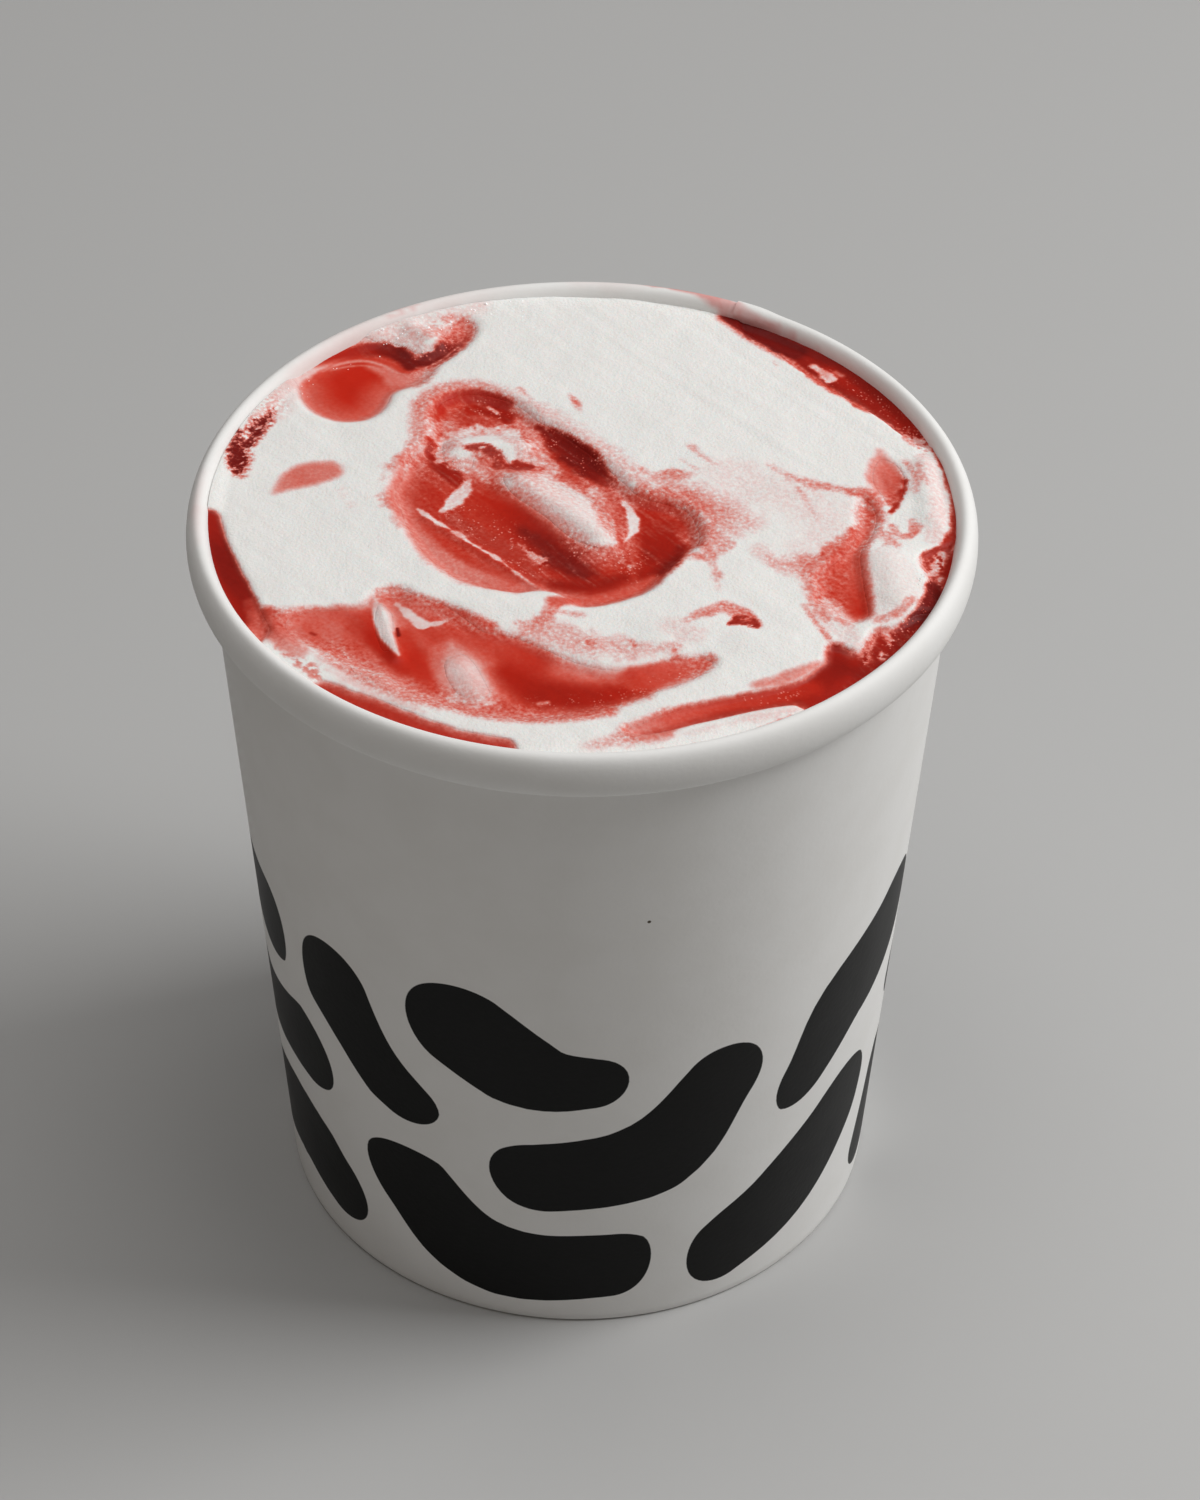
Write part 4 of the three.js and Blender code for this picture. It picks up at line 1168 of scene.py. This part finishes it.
@dataclass(frozen=True)
class Ice:
    """Clear frost crystals that glint, a little uneven in shade and roughness. They also glow a little, a
    painted glint, though they are no lamp.
    """

    name: str = "frost"
    bright: tuple[float, float, float] = (0.90, 0.90, 0.90)
    dull: tuple[float, float, float] = (0.80, 0.81, 0.83)
    cloud: float = 0.4
    roughness: float = 0.06
    # glow is the emission that makes the crystals show as bright dots: a painted glint.
    glow: float = 0.35

    def material(self) -> bpy.types.Material:
        """Makes the material."""
        shader = Shader(self.name)
        cloud = shader.noise(self.cloud)
        colour = shader.mix(cloud, self.bright, self.dull)
        # The emission below is a painted glint.
        return shader.surface(Base_Color=colour, Roughness=self.roughness + cloud * 0.1, IOR=1.6,
                              Emission_Color=colour, Emission_Strength=self.glow)


@dataclass(frozen=True)
class FloorPaint:
    """A plain pale floor with very faint clouds."""

    name: str = "studio_floor"
    colour: tuple[float, float, float] = (0.50, 0.50, 0.495)
    shade: tuple[float, float, float] = (0.46, 0.46, 0.455)
    cloud: float = 60.0
    roughness: float = 0.6

    def material(self) -> bpy.types.Material:
        """Makes the material."""
        shader = Shader(self.name)
        cloud = shader.noise(self.cloud, detail=3.0)
        pale = shader.mix(cloud * 0.1, self.colour, self.shade)
        return shader.surface(Base_Color=pale, Roughness=self.roughness)


# ---- Mesh helpers ------------------------------------------------------------------------------------


def finish_object(name: str, bm: bmesh.types.BMesh, material: bpy.types.Material,
                  sharp_deg: float = 40.0) -> bpy.types.Object:
    """Turns a bmesh in millimetres into a smooth shaded object in metres.

    Args:
        name: The object's name.
        bm: Its shape, which is freed.
        material: Its finish.
        sharp_deg: Edges that bend more than this stay sharp.

    Returns:
        The object, linked to the scene.
    """
    bmesh.ops.scale(bm, vec=(MM, MM, MM), verts=bm.verts)
    for face in bm.faces:
        face.smooth = True
    for edge in bm.edges:
        if len(edge.link_faces) == 2 and edge.calc_face_angle(0.0) > math.radians(sharp_deg):
            edge.smooth = False
    mesh = bpy.data.meshes.new(name)
    bm.to_mesh(mesh)
    bm.free()
    mesh.materials.append(material)
    made = bpy.data.objects.new(name, mesh)
    bpy.context.scene.collection.objects.link(made)
    return made


def places_of(made: bpy.types.Object) -> tuple[Array, Array, Array]:
    """Where an object's vertices are, in millimetres."""
    places = np.empty(len(made.data.vertices) * 3)
    made.data.vertices.foreach_get("co", places)
    return tuple(places.reshape(-1, 3).T / MM)


def plan_of(verts: Iterable[bmesh.types.BMVert]) -> tuple[Array, Array]:
    """Where vertices are in plan."""
    places = np.array([vert.co[:2] for vert in verts])
    return places[:, 0].copy(), places[:, 1].copy()


def extruded(bm: bmesh.types.BMesh, border: list[bmesh.types.BMEdge],
             ) -> tuple[list[bmesh.types.BMVert], list[bmesh.types.BMEdge]]:
    """Extrudes an open border and gives the new vertices and edges."""
    ring = bmesh.ops.extrude_edge_only(bm, edges=border)["geom"]
    return tuple([item for item in ring if isinstance(item, kind)]
                 for kind in (bmesh.types.BMVert, bmesh.types.BMEdge))


def store(made: bpy.types.Object, values: dict[str, Array]) -> None:
    """Keeps numbers at an object's vertices, for its material."""
    for name, numbers in values.items():
        layer = made.data.attributes.new(name, "FLOAT", "POINT")
        layer.data.foreach_set("value", np.asarray(numbers, np.float32))


def attach(made: bpy.types.Object, slot: Slot, *nodes: str) -> bpy.types.Object:
    """Makes a piece part of the tub, in place of CAD nodes if any are named."""
    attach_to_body(made, BODY)
    if nodes:
        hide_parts(*nodes)
    log.info("%s: %d faces", made.name, len(made.data.polygons))
    return made


def spun(profile: Sequence[Point], closed: bool, steps: int, start_deg: float = 0.0) -> bmesh.types.BMesh:
    """Turns a profile of (radius, height) about Z.

    Args:
        profile: Points of the profile. An open one starts and ends on the axis.
        closed: Whether the profile runs back to its start.
        steps: Columns round the axis.
        start_deg: Where the first column stands.

    Returns:
        The turned shape, in millimetres, with its faces outwards.
    """
    bm = bmesh.new()
    turn = math.radians(start_deg)
    verts = [bm.verts.new((r * math.cos(turn), r * math.sin(turn), z)) for r, z in profile]
    edges = [bm.edges.new(pair) for pair in zip(verts, verts[1:])]
    if closed:
        edges.append(bm.edges.new((verts[-1], verts[0])))
    bmesh.ops.spin(bm, geom=verts + edges, cent=(0, 0, 0), axis=(0, 0, 1), angle=math.tau, steps=steps,
                   use_merge=True)
    bmesh.ops.remove_doubles(bm, verts=bm.verts, dist=1e-4)
    bmesh.ops.recalc_face_normals(bm, faces=bm.faces)
    return bm


def offset_path(path: Sequence[Point], distance: float) -> list[Point]:
    """A path moved to its left by a distance, with mitred corners."""
    points = np.asarray(path, float)
    ahead = np.diff(points, axis=0)
    ahead /= np.linalg.norm(ahead, axis=1)[:, None]
    before, after = np.vstack([ahead[:1], ahead]), np.vstack([ahead, ahead[-1:]])
    along = before + after
    along /= np.linalg.norm(along, axis=1)[:, None]
    mitre = distance / np.maximum((along * after).sum(1), 0.5)
    return [(x - ay * m, y + ax * m) for (x, y), (ax, ay), m in zip(points, along, mitre)]


# ---- The paper tub -----------------------------------------------------------------------------------


@dataclass(frozen=True)
class Patch:
    """A rounded patch of ink on the unrolled wall, where X runs round the wall and Y up it."""

    spine: tuple[Point, ...]
    radius: Spread


PATCHES = (
    Patch(((6, 14), (20, 19), (33, 14)), (7.2, 10.2, 7.7)),
    Patch(((50, 25), (62, 15), (83, 14)), (9.7, 9.7, 8.2)),
    Patch(((102, 12), (114, 18), (126, 28)), (7.7, 9.2, 10.2)),
    Patch(((142, 10), (146, 22)), (6.7, 8.7)),
    Patch(((-2, 42), (12, 38), (26, 40)), (10.2, 7.7, 9.2)),
    Patch(((37, 60), (44, 50), (50, 44)), (9.7, 7.7, 6.2)),
    Patch(((72, 33), (88, 38), (100, 51)), (9.2, 9.7, 8.2)),
    Patch(((60, 64), (72, 56), (80, 55)), (9.7, 8.2, 6.2)),
    Patch(((116, 44), (124, 54), (138, 60)), (7.7, 9.2, 9.7)),
    Patch(((6, 62), (18, 60)), (7.2, 8.7)),
)


@dataclass
class Print:
    """Rounded black patches round the lower wall with an even gap between them.

    Attributes:
        width: Width of the unrolled layout.
        repeats: How often it is laid round the tub.
        gap: Paper left between two patches.
        corner: How far their corners are rounded there.
    """

    width: float = 155.0
    repeats: int = 2
    gap: float = 5.2
    corner: float = 4.0

    NONE = -9.0

    def edge(self, turn_deg: Array, z: Array) -> Array:
        """Distance of spots on the wall from the edge of the print, positive inside it."""
        sector = 360 / self.repeats
        x = (turn_deg % sector) / sector * self.width
        nearest, second = np.full(z.shape, np.inf), np.full(z.shape, np.inf)
        for patch in PATCHES:
            path = through(patch.spine)
            away = np.full(z.shape, np.inf)
            for shift in (-self.width, 0.0, self.width):
                distance, along = reach(path + (shift, 0.0), x, z)
                away = np.minimum(away, distance - spread(patch.radius, along))
            second = np.minimum(second, np.maximum(nearest, away))
            nearest = np.minimum(nearest, away)
        return smooth_min(-nearest, (second - nearest - self.gap) / 2, self.corner)


@dataclass
class PaperTub:
    """The tub's sidewall with its rolled rim and seam, and its base disc.

    Attributes:
        shape: Sizes of the tub.
        columns: Columns of faces round it.
        wall_rows: Rows up the wall's outer face.
        inner_rows: Rows up its inner face.
        roll_step_deg: Turn of one row of the roll.
        foot_round: Radius of the bends at the foot.
        bend_fold: Where the bend into the fold passes, sideways and up.
        bend_wall: Where the bend into the wall passes.
        fold_row: Height of one more row on the fold.
        seam_step_deg: Turn in which the seam's free edge steps down.
        roll_outside: Share of the roll's size past which, and side and height above which, a spot is on the
            outside of the roll, where the lap thickens it.
        disc_bend: Radius of the bend at the edge of the base disc.
        stained_below: How far below the roll's middle its stain ends.
    """

    shape: TubShape
    columns: int = 360
    wall_rows: int = 110
    inner_rows: int = 12
    roll_step_deg: float = 10.0
    foot_round: float = 0.45
    bend_fold: Point = (0.15, 0.12)
    bend_wall: Point = (0.14, 0.12)
    fold_row: float = 2.4
    seam_step_deg: float = 0.06
    roll_outside: tuple[float, float, float] = (0.93, -0.8, -0.6)
    disc_bend: float = 1.2
    stained_below: float = 1.0

    def wall_path(self, rows: int) -> list[Point]:
        """The middle line of the paper, from the fold inside the foot, up the wall and round the roll."""
        s = self.shape
        fold_radius = s.base_radius - 3 * s.paper - 2 * s.gap
        half = s.paper / 2
        start = half + self.foot_round
        path = [(fold_radius, s.foot_fold), (fold_radius, self.fold_row), (fold_radius, start)]
        aside, up = self.bend_fold
        path += [(fold_radius + aside, half + up), (fold_radius + self.foot_round, half)]
        aside, up = self.bend_wall
        path += [(s.wall_foot - self.foot_round, half), (s.wall_foot - aside, half + up)]
        for i in range(rows):
            z = start + (s.roll_z - start) * i / rows
            path.append((float(s.wall_middle(z)), z))
        steps = int((180 - s.roll_end_deg) / self.roll_step_deg)
        for i in range(steps + 1):
            angle = math.radians(180 - i * self.roll_step_deg)
            path.append((s.roll_radius + (s.roll_half_width - half) * math.cos(angle),
                         s.roll_z + (s.roll_half_height - half) * math.sin(angle)))
        return path

    def lap(self, turn_deg: Array) -> Array:
        """How much of the lap's thickness stands at an angle: all at its free edge, none where it ends."""
        s = self.shape
        width = math.degrees(s.seam_lap / s.wall_top)
        back = s.seam_deg - turn_deg
        return np.where(back > -0.01, 1 - smoothstep(width * 0.35, width, back), 0.0)

    def sidewall(self, finish: Paperboard) -> bpy.types.Object:
        """Builds the sidewall.

        Args:
            finish: The paper's finish.

        Returns:
            The piece.
        """
        s = self.shape
        inner = offset_path(self.wall_path(self.inner_rows), s.paper / 2)
        outer = offset_path(self.wall_path(self.wall_rows), -s.paper / 2)
        bm = spun(inner + outer[::-1], closed=True, steps=self.columns, start_deg=s.seam_deg)
        under_roll = s.roll_z - s.roll_half_height
        column = 360 / self.columns
        least, inmost, lowest = self.roll_outside
        for vert in bm.verts:
            x, y, z = vert.co
            radius, turn = math.hypot(x, y), math.degrees(math.atan2(y, x)) % 360
            past = turn - s.seam_deg
            if 0.5 * column < past < 1.5 * column:
                turn = s.seam_deg + self.seam_step_deg
            lap = float(self.lap(np.array(turn)))
            if z < s.roll_z and 0.2 * s.paper < radius - s.wall_middle(z) < 0.8 * s.paper:
                radius += s.paper * lap * float(smoothstep(under_roll + 0.5, under_roll - 0.5, np.array(z)))
            aside, up = (radius - s.roll_radius) / s.roll_half_width, (z - s.roll_z) / s.roll_half_height
            away = math.hypot(aside, up)
            if away > least and aside > inmost and up > lowest:
                radius += s.roll_lap * lap * aside / away
                z += s.roll_lap * lap * up / away
            turn = math.radians(turn)
            vert.co = (radius * math.cos(turn), radius * math.sin(turn), z)
        made = finish_object("cup_sidewall_paper", bm, finish.material(), sharp_deg=50.0)
        x, y, z = places_of(made)
        radius, turn = np.hypot(x, y), np.degrees(np.arctan2(y, x))
        print_edge = Print().edge(turn, z)
        print_edge[(radius < s.wall_middle(z)) | (z > under_roll)] = Print.NONE
        stain = np.zeros(x.shape)
        for dab in RIM_STAINS:
            cover, along = dab.mask(x, y)
            stain = np.maximum(stain, cover * spread(dab.sauce, along) * (z > s.roll_z - self.stained_below))
        store(made, {"print_edge": print_edge, "stain": stain})
        return attach(made, Slot.PAPERBOARD, "cup_sidewall")

    def base(self, finish: Paperboard) -> bpy.types.Object:
        """Builds the base disc with its rim turned down between the wall and its fold.

        Args:
            finish: The paper's finish.

        Returns:
            The piece.
        """
        s = self.shape
        middle = s.base_recess + s.paper / 2
        flange = s.base_radius - s.paper - s.gap - s.paper / 2
        bend = self.disc_bend
        path = [(0.0, middle), (flange * 0.5, middle), (flange - bend, middle)]
        path += [(flange - bend + bend * math.sin(a), middle - bend + bend * math.cos(a))
                 for a in np.linspace(0.3, math.pi / 2, 5)]
        path.append((flange, s.paper + 2 * s.gap))
        upper, lower = offset_path(path, s.paper / 2), offset_path(path, -s.paper / 2)
        upper[0], lower[0] = (0.0, upper[0][1]), (0.0, lower[0][1])
        disc = spun(lower + upper[::-1], closed=False, steps=self.columns // 2)
        made = finish_object("cup_base_disc", disc, finish.material())
        x, _, _ = places_of(made)
        store(made, {"print_edge": np.full(x.shape, Print.NONE), "stain": np.zeros(x.shape)})
        return attach(made, Slot.PAPERBOARD, "cup_base")


# ---- The contents ------------------------------------------------------------------------------------


FLAT = 0.01          # how much the foot of a ripple's solid may rise
BESIDE_WALL = 0.4    # a solid that comes this near its limit at the wall stops at the wall
IN_PAPER = 57.0      # and its outline is led on to this radius


def node_outlines(name: str, shape: TubShape) -> list[Outline]:
    """Reads the outline and the islands of one part of the ripple off the foot of its solid.

    Args:
        name: The node.
        shape: Sizes of the tub. Where the solid stops at the wall, its outline is led on into the paper.

    Returns:
        The outline and then each island.
    """
    bm = bmesh.new()
    bm.from_mesh(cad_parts[name].data)
    bmesh.ops.scale(bm, vec=(1 / MM, 1 / MM, 1 / MM), verts=bm.verts)
    bmesh.ops.remove_doubles(bm, verts=bm.verts, dist=1e-3)
    floor = min(vert.co.z for vert in bm.verts)
    flat = {face for face in bm.faces if all(vert.co.z < floor + FLAT for vert in face.verts)}
    rim = {edge for edge in bm.edges if sum(face in flat for face in edge.link_faces) == 1}
    wall = float(shape.wall_inside(floor)) - shape.gap - BESIDE_WALL
    loops = []
    while rim:
        edge = min(rim, key=lambda e: min(vert.index for vert in e.verts))
        vert = edge.verts[0]
        loop = []
        while edge:
            rim.discard(edge)
            vert = edge.other_vert(vert)
            loop.append((vert.co.x, vert.co.y))
            edge = next((e for e in vert.link_edges if e in rim), None)
        loops.append(loop)
    bm.free()
    outlines = []
    for loop in loops:
        led = []
        for x, y in loop:
            radius = math.hypot(x, y)
            led.append((x * IN_PAPER / radius, y * IN_PAPER / radius) if radius > wall else (x, y))
        outlines.append(Outline(smooth_curve(led, closed=True, per_span=5)))
    return sorted(outlines, key=lambda outline: -np.ptp(outline.path, axis=0).prod())


@dataclass
class IceCream:
    """The ice cream: its scraped top with the stains of the ripple, and the body below it.

    Attributes:
        shape: Sizes of the tub.
        plan: The top.
        cells: Cells of the top's grid, along each side.
        top_radius: Where the top ends.
        skirt: How far below the level the rows of its side lie.
        painted: How far below the level the sauce's stains end.
    """

    shape: TubShape
    plan: TopPlan
    cells: int = 300
    top_radius: float = 55.3
    skirt: tuple[float, ...] = (4.0, 30.0, 70.0)
    painted: float = 6.0

    def build(self, finish: Contents) -> bpy.types.Object:
        """Builds the ice cream as one closed piece.

        Args:
            finish: Its finish.

        Returns:
            The piece.
        """
        s = self.shape
        bm = bmesh.new()
        bmesh.ops.create_grid(bm, x_segments=self.cells, y_segments=self.cells, size=1.0)
        u, v = plan_of(bm.verts)
        x = u * np.sqrt(1 - v * v / 2) * self.top_radius
        y = v * np.sqrt(1 - u * u / 2) * self.top_radius
        depths = self.plan.depths(x, y)
        z = self.plan.height(x, y, depths) - self.plan.dip(depths)
        for vert, place in zip(bm.verts, zip(x, y, z)):
            vert.co = place
        border = [edge for edge in bm.edges if edge.is_boundary]
        bottom = s.base_recess + s.paper + s.gap
        for level in [s.level - drop for drop in self.skirt] + [bottom]:
            ring, border = extruded(bm, border)
            radius = float(s.wall_inside(level)) - s.gap
            for vert in ring:
                out = Vector((vert.co.x, vert.co.y)).normalized() * radius
                vert.co = (out.x, out.y, level)
        hub, _ = extruded(bm, border)
        bmesh.ops.pointmerge(bm, verts=hub, merge_co=(0, 0, bottom))
        bmesh.ops.recalc_face_normals(bm, faces=bm.faces)
        made = finish_object("ice_cream_body", bm, finish.material(), sharp_deg=75.0)
        x, y, z = places_of(made)
        values = self.plan.paint(x, y, z, self.plan.depths(x, y))
        below = z < s.level - self.painted
        for numbers in values.values():
            numbers[below] = 0.0
        store(made, values)
        return attach(made, Slot.ICE_CREAM, "ice_cream")


@dataclass
class Ripple:
    """One part of the fruit ripple, a pool of sauce in its pocket of the ice cream.

    Attributes:
        name: Its node.
        shape: Sizes of the tub.
        plan: The top.
        cell: Width of a cell of its grid.
        margin: How far past its outline the grid reaches.
        buried: How far past its outline it runs on under the ice cream.
        tuck: How far its edge dips there.
        wall_radius: Where it ends at the wall.
        drawn_in: Outside this radius its foot is drawn in, so that it stays inside the tapered wall.
    """

    name: str
    shape: TubShape
    plan: TopPlan
    cell: float = 0.18
    margin: float = 1.0
    buried: float = 0.42
    tuck: float = 0.4
    wall_radius: float = 55.3
    drawn_in: float = 50.0

    def build(self, finish: Contents) -> bpy.types.Object:
        """Builds the part as one closed piece.

        Args:
            finish: Its finish.

        Returns:
            The piece.
        """
        outer = self.plan.outlines[self.name][0]
        low, high = outer.path.min(0) - self.margin, outer.path.max(0) + self.margin
        span = high - low
        count = np.ceil(span / self.cell).astype(int)
        bm = bmesh.new()
        bmesh.ops.create_grid(bm, x_segments=int(count[0]), y_segments=int(count[1]), size=0.5)
        middle = (low + high) / 2
        bmesh.ops.scale(bm, vec=(span[0], span[1], 1.0), verts=bm.verts)
        bmesh.ops.translate(bm, vec=(middle[0], middle[1], 0.0), verts=bm.verts)
        self._trim(bm)
        x, y = plan_of(bm.verts)
        depths = self.plan.depths(x, y)
        depth = depths[self.name]
        z = self.plan.height(x, y, depths) + self.plan.LIFT * smoothstep(0.0, 1.0, depth)
        z -= self.tuck * smoothstep(0.05, -self.buried, depth)
        for vert, height in zip(bm.verts, z):
            vert.co.z = height
        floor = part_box(self.name)[0].z / MM
        ring, border = extruded(bm, [edge for edge in bm.edges if edge.is_boundary])
        foot_radius = float(self.shape.wall_inside(floor)) - self.shape.gap
        for vert in ring:
            radius = math.hypot(vert.co.x, vert.co.y)
            if radius > self.drawn_in:
                share = (radius - self.drawn_in) / (self.wall_radius - self.drawn_in)
                drawn = (self.drawn_in + share * (foot_radius - self.drawn_in)) / radius
                vert.co.x, vert.co.y = vert.co.x * drawn, vert.co.y * drawn
            vert.co.z = floor
        bmesh.ops.triangle_fill(bm, use_beauty=True, use_dissolve=False, edges=border)
        bmesh.ops.recalc_face_normals(bm, faces=bm.faces)
        made = finish_object(self.name + "_sauce", bm, finish.material(), sharp_deg=75.0)
        x, y, z = places_of(made)
        store(made, self.plan.paint(x, y, z, self.plan.depths(x, y)))
        return attach(made, Slot.FRUIT_RIPPLE, self.name)

    def _trim(self, bm: bmesh.types.BMesh) -> None:
        """Cuts a grid down to the part's outline and draws its edge onto that outline."""
        x, y = plan_of(bm.verts)
        depth = self.plan.pocket_depth(self.name, x, y)
        out = (depth < -self.buried) | (np.hypot(x, y) > self.wall_radius)
        bmesh.ops.delete(bm, geom=[vert for vert, gone in zip(bm.verts, out) if gone], context="VERTS")
        while True:
            pinched = [vert for vert in bm.verts
                       if not vert.link_faces or sum(edge.is_boundary for edge in vert.link_edges) > 2]
            if not pinched:
                break
            bmesh.ops.delete(bm, geom=pinched, context="VERTS")
        outlines = self.plan.outlines[self.name]
        for vert in bm.verts:
            if not vert.is_boundary:
                continue
            px, py = vert.co.x, vert.co.y
            radius = math.hypot(px, py)
            if radius > self.wall_radius - 1.5 * self.cell:
                vert.co.x, vert.co.y = px * self.wall_radius / radius, py * self.wall_radius / radius
                continue
            spots = [outline.nearest(px, py) for outline in outlines]
            nx, ny = min(spots, key=lambda spot: math.hypot(spot[0] - px, spot[1] - py))
            away = math.hypot(px - nx, py - ny)
            if 0.5 * self.cell < away < self.buried + self.cell:
                vert.co.x = nx + (px - nx) * self.buried / away
                vert.co.y = ny + (py - ny) * self.buried / away


@dataclass
class FrostCrystals:
    """Small ice crystals that glint where the ice cream has drawn back from the wall; their finish also
    glows, a painted glint.

    Attributes:
        plan: The top.
        seed: Start of the random draw.
        count: How many are scattered over the band.
        band_deg: Angles between which it lies.
        band_radius: Radii between which it lies.
        size: Least and greatest radius of a scattered crystal.
        squash: Least and greatest stretch of a crystal along an axis.
        raised: Share of its radius that its middle stands above the top.
        glints: The brightest ones, each with its place and radius.
    """

    plan: TopPlan
    seed: int = 5
    count: int = 44
    band_deg: Point = (98.0, 152.0)
    band_radius: Point = (50.5, 54.8)
    size: Point = (0.05, 0.12)
    squash: Point = (0.6, 1.3)
    raised: float = 0.3
    glints: tuple[tuple[float, float, float], ...] = (
        (-31, 45, 0.18), (-24, 46, 0.2), (-20.6, 48.4, 0.2), (-15.2, 52.4, 0.24), (-28.7, 43.6, 0.16),
        (-17, 51, 0.14), (-11.6, 53.4, 0.14), (-9.6, 53.6, 0.12), (-30.4, 42.8, 0.12))

    def build(self, finish: Ice) -> bpy.types.Object:
        """Builds all crystals as one piece.

        Args:
            finish: Their finish.

        Returns:
            The piece.
        """
        rng = np.random.default_rng(self.seed)
        turns = np.radians(rng.uniform(*self.band_deg, self.count))
        radii = rng.uniform(*self.band_radius, self.count)
        spots = [(r * math.cos(t), r * math.sin(t), size)
                 for r, t, size in zip(radii, turns, rng.uniform(*self.size, self.count))]
        spots += list(self.glints)
        x, y = np.array([spot[0] for spot in spots]), np.array([spot[1] for spot in spots])
        heights = self.plan.height(x, y, self.plan.depths(x, y))
        bm = bmesh.new()
        for (px, py, size), z in zip(spots, heights):
            made = bmesh.ops.create_icosphere(bm, subdivisions=1, radius=size)["verts"]
            axis = Vector(rng.normal(size=3)).normalized()
            bmesh.ops.scale(bm, vec=tuple(rng.uniform(*self.squash, 3)), verts=made)
            bmesh.ops.rotate(bm, matrix=Matrix.Rotation(rng.uniform(0, math.tau), 3, axis), verts=made)
            bmesh.ops.translate(bm, vec=(px, py, z + size * self.raised), verts=made)
        made = finish_object("frost_crystals", bm, finish.material(), sharp_deg=5.0)
        return attach(made, Slot.ICE_CREAM)


# ---- Studio ------------------------------------------------------------------------------------------


@dataclass
class View:
    """The camera, looking down on the tub from the front. Lengths are in radii of the rim."""

    rim_radius: float
    distance: float = 13.128
    down_deg: float = 40.41
    aim_height: float = 1.3361
    pan_deg: float = 0.2232
    roll_deg: float = 0.4661
    lens: float = 120.0
    sensor_height: float = 36.0

    def build(self) -> bpy.types.Object:
        """Makes the camera and gives it to the scene."""
        down, pan, roll = (math.radians(a) for a in (self.down_deg, self.pan_deg, self.roll_deg))
        place = Vector((0, -self.distance * math.cos(down), self.aim_height + self.distance * math.sin(down)))
        ahead = Vector((0, math.cos(down), -math.sin(down)))
        right = Vector((1, 0, 0))
        up = right.cross(ahead)
        ahead, right = (ahead * math.cos(pan) + right * math.sin(pan),
                        right * math.cos(pan) - ahead * math.sin(pan))
        right, up = (right * math.cos(roll) + up * math.sin(roll),
                     up * math.cos(roll) - right * math.sin(roll))
        data = bpy.data.cameras.new("camera")
        data.sensor_fit = "VERTICAL"
        data.sensor_height = self.sensor_height
        data.lens = self.lens
        camera = bpy.data.objects.new("camera", data)
        axes = Matrix((right, up, -ahead)).transposed().to_4x4()
        camera.matrix_world = Matrix.Translation(place * self.rim_radius * MM) @ axes
        bpy.context.scene.collection.objects.link(camera)
        bpy.context.scene.camera = camera
        return camera


@dataclass(frozen=True)
class Softbox:
    """A square area light, in metres and watts."""

    name: str
    place: tuple[float, float, float]
    size: float
    power: float
    colour: tuple[float, float, float] = (1.0, 1.0, 1.0)

    def build(self, target: Vector) -> bpy.types.Object:
        """Makes the light and turns it to a target."""
        data = bpy.data.lights.new(self.name, "AREA")
        data.size = self.size
        data.energy = self.power
        data.color = self.colour
        light = bpy.data.objects.new(self.name, data)
        light.location = self.place
        light.rotation_euler = (target - Vector(self.place)).to_track_quat("-Z", "Y").to_euler()
        bpy.context.scene.collection.objects.link(light)
        return light


@dataclass
class Studio:
    """A plain pale floor and soft light from above, behind and the right."""

    floor_half: float = 3.0
    aim: tuple[float, float, float] = (0.0, 0.0, 0.1)
    ambient: float = 0.12
    ambient_colour: tuple[float, float, float] = (1.0, 0.94, 0.88)
    lights: tuple[Softbox, ...] = (
        Softbox("key_light", (1.0, 0.1, 0.95), 0.7, 13.0),
        Softbox("top_light", (0.0, 0.03, 1.38), 1.0, 6.0),
        Softbox("fill_light", (-0.7, -0.9, 0.7), 1.2, 0.6, (1.0, 0.86, 0.74)),
    )

    def build(self) -> None:
        """Makes the floor, the lights and the light of the room."""
        bm = bmesh.new()
        bmesh.ops.create_grid(bm, x_segments=8, y_segments=8, size=self.floor_half / MM)
        floor = finish_object("studio_floor", bm, FloorPaint().material())
        for light in self.lights:
            light.build(Vector(self.aim))
        world = bpy.data.worlds.new("room")
        world.use_nodes = True
        back = world.node_tree.nodes["Background"]
        back.inputs["Color"].default_value = (*self.ambient_colour, 1.0)
        back.inputs["Strength"].default_value = self.ambient
        bpy.context.scene.world = world
        bpy.context.scene.view_settings.view_transform = "Standard"


def main() -> None:
    """Builds the picture: camera, tub, contents and studio."""
    logging.basicConfig(level=logging.INFO, format="%(name)s: %(message)s")
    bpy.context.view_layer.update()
    shape = TubShape()
    View(shape.rim_radius).build()

    speck_turn, speck_z = math.radians(-79.0), 90.0
    radius = float(shape.wall_middle(speck_z)) + shape.paper / 2
    paper = Paperboard(speck=(radius * math.cos(speck_turn), radius * math.sin(speck_turn), speck_z))
    tub = PaperTub(shape)
    tub.sidewall(paper)
    tub.base(paper)

    plan = TopPlan(shape, {name: node_outlines(name, shape) for name in RIPPLES})
    IceCream(shape, plan).build(Contents("vanilla_ice_cream", grain=0.19))
    sauce = Contents("fruit_sauce", grain=0.06)
    for name in RIPPLES:
        Ripple(name, shape, plan).build(sauce)
    FrostCrystals(plan).build(Ice())
    Studio().build()


if __name__ == "__main__":
    main()
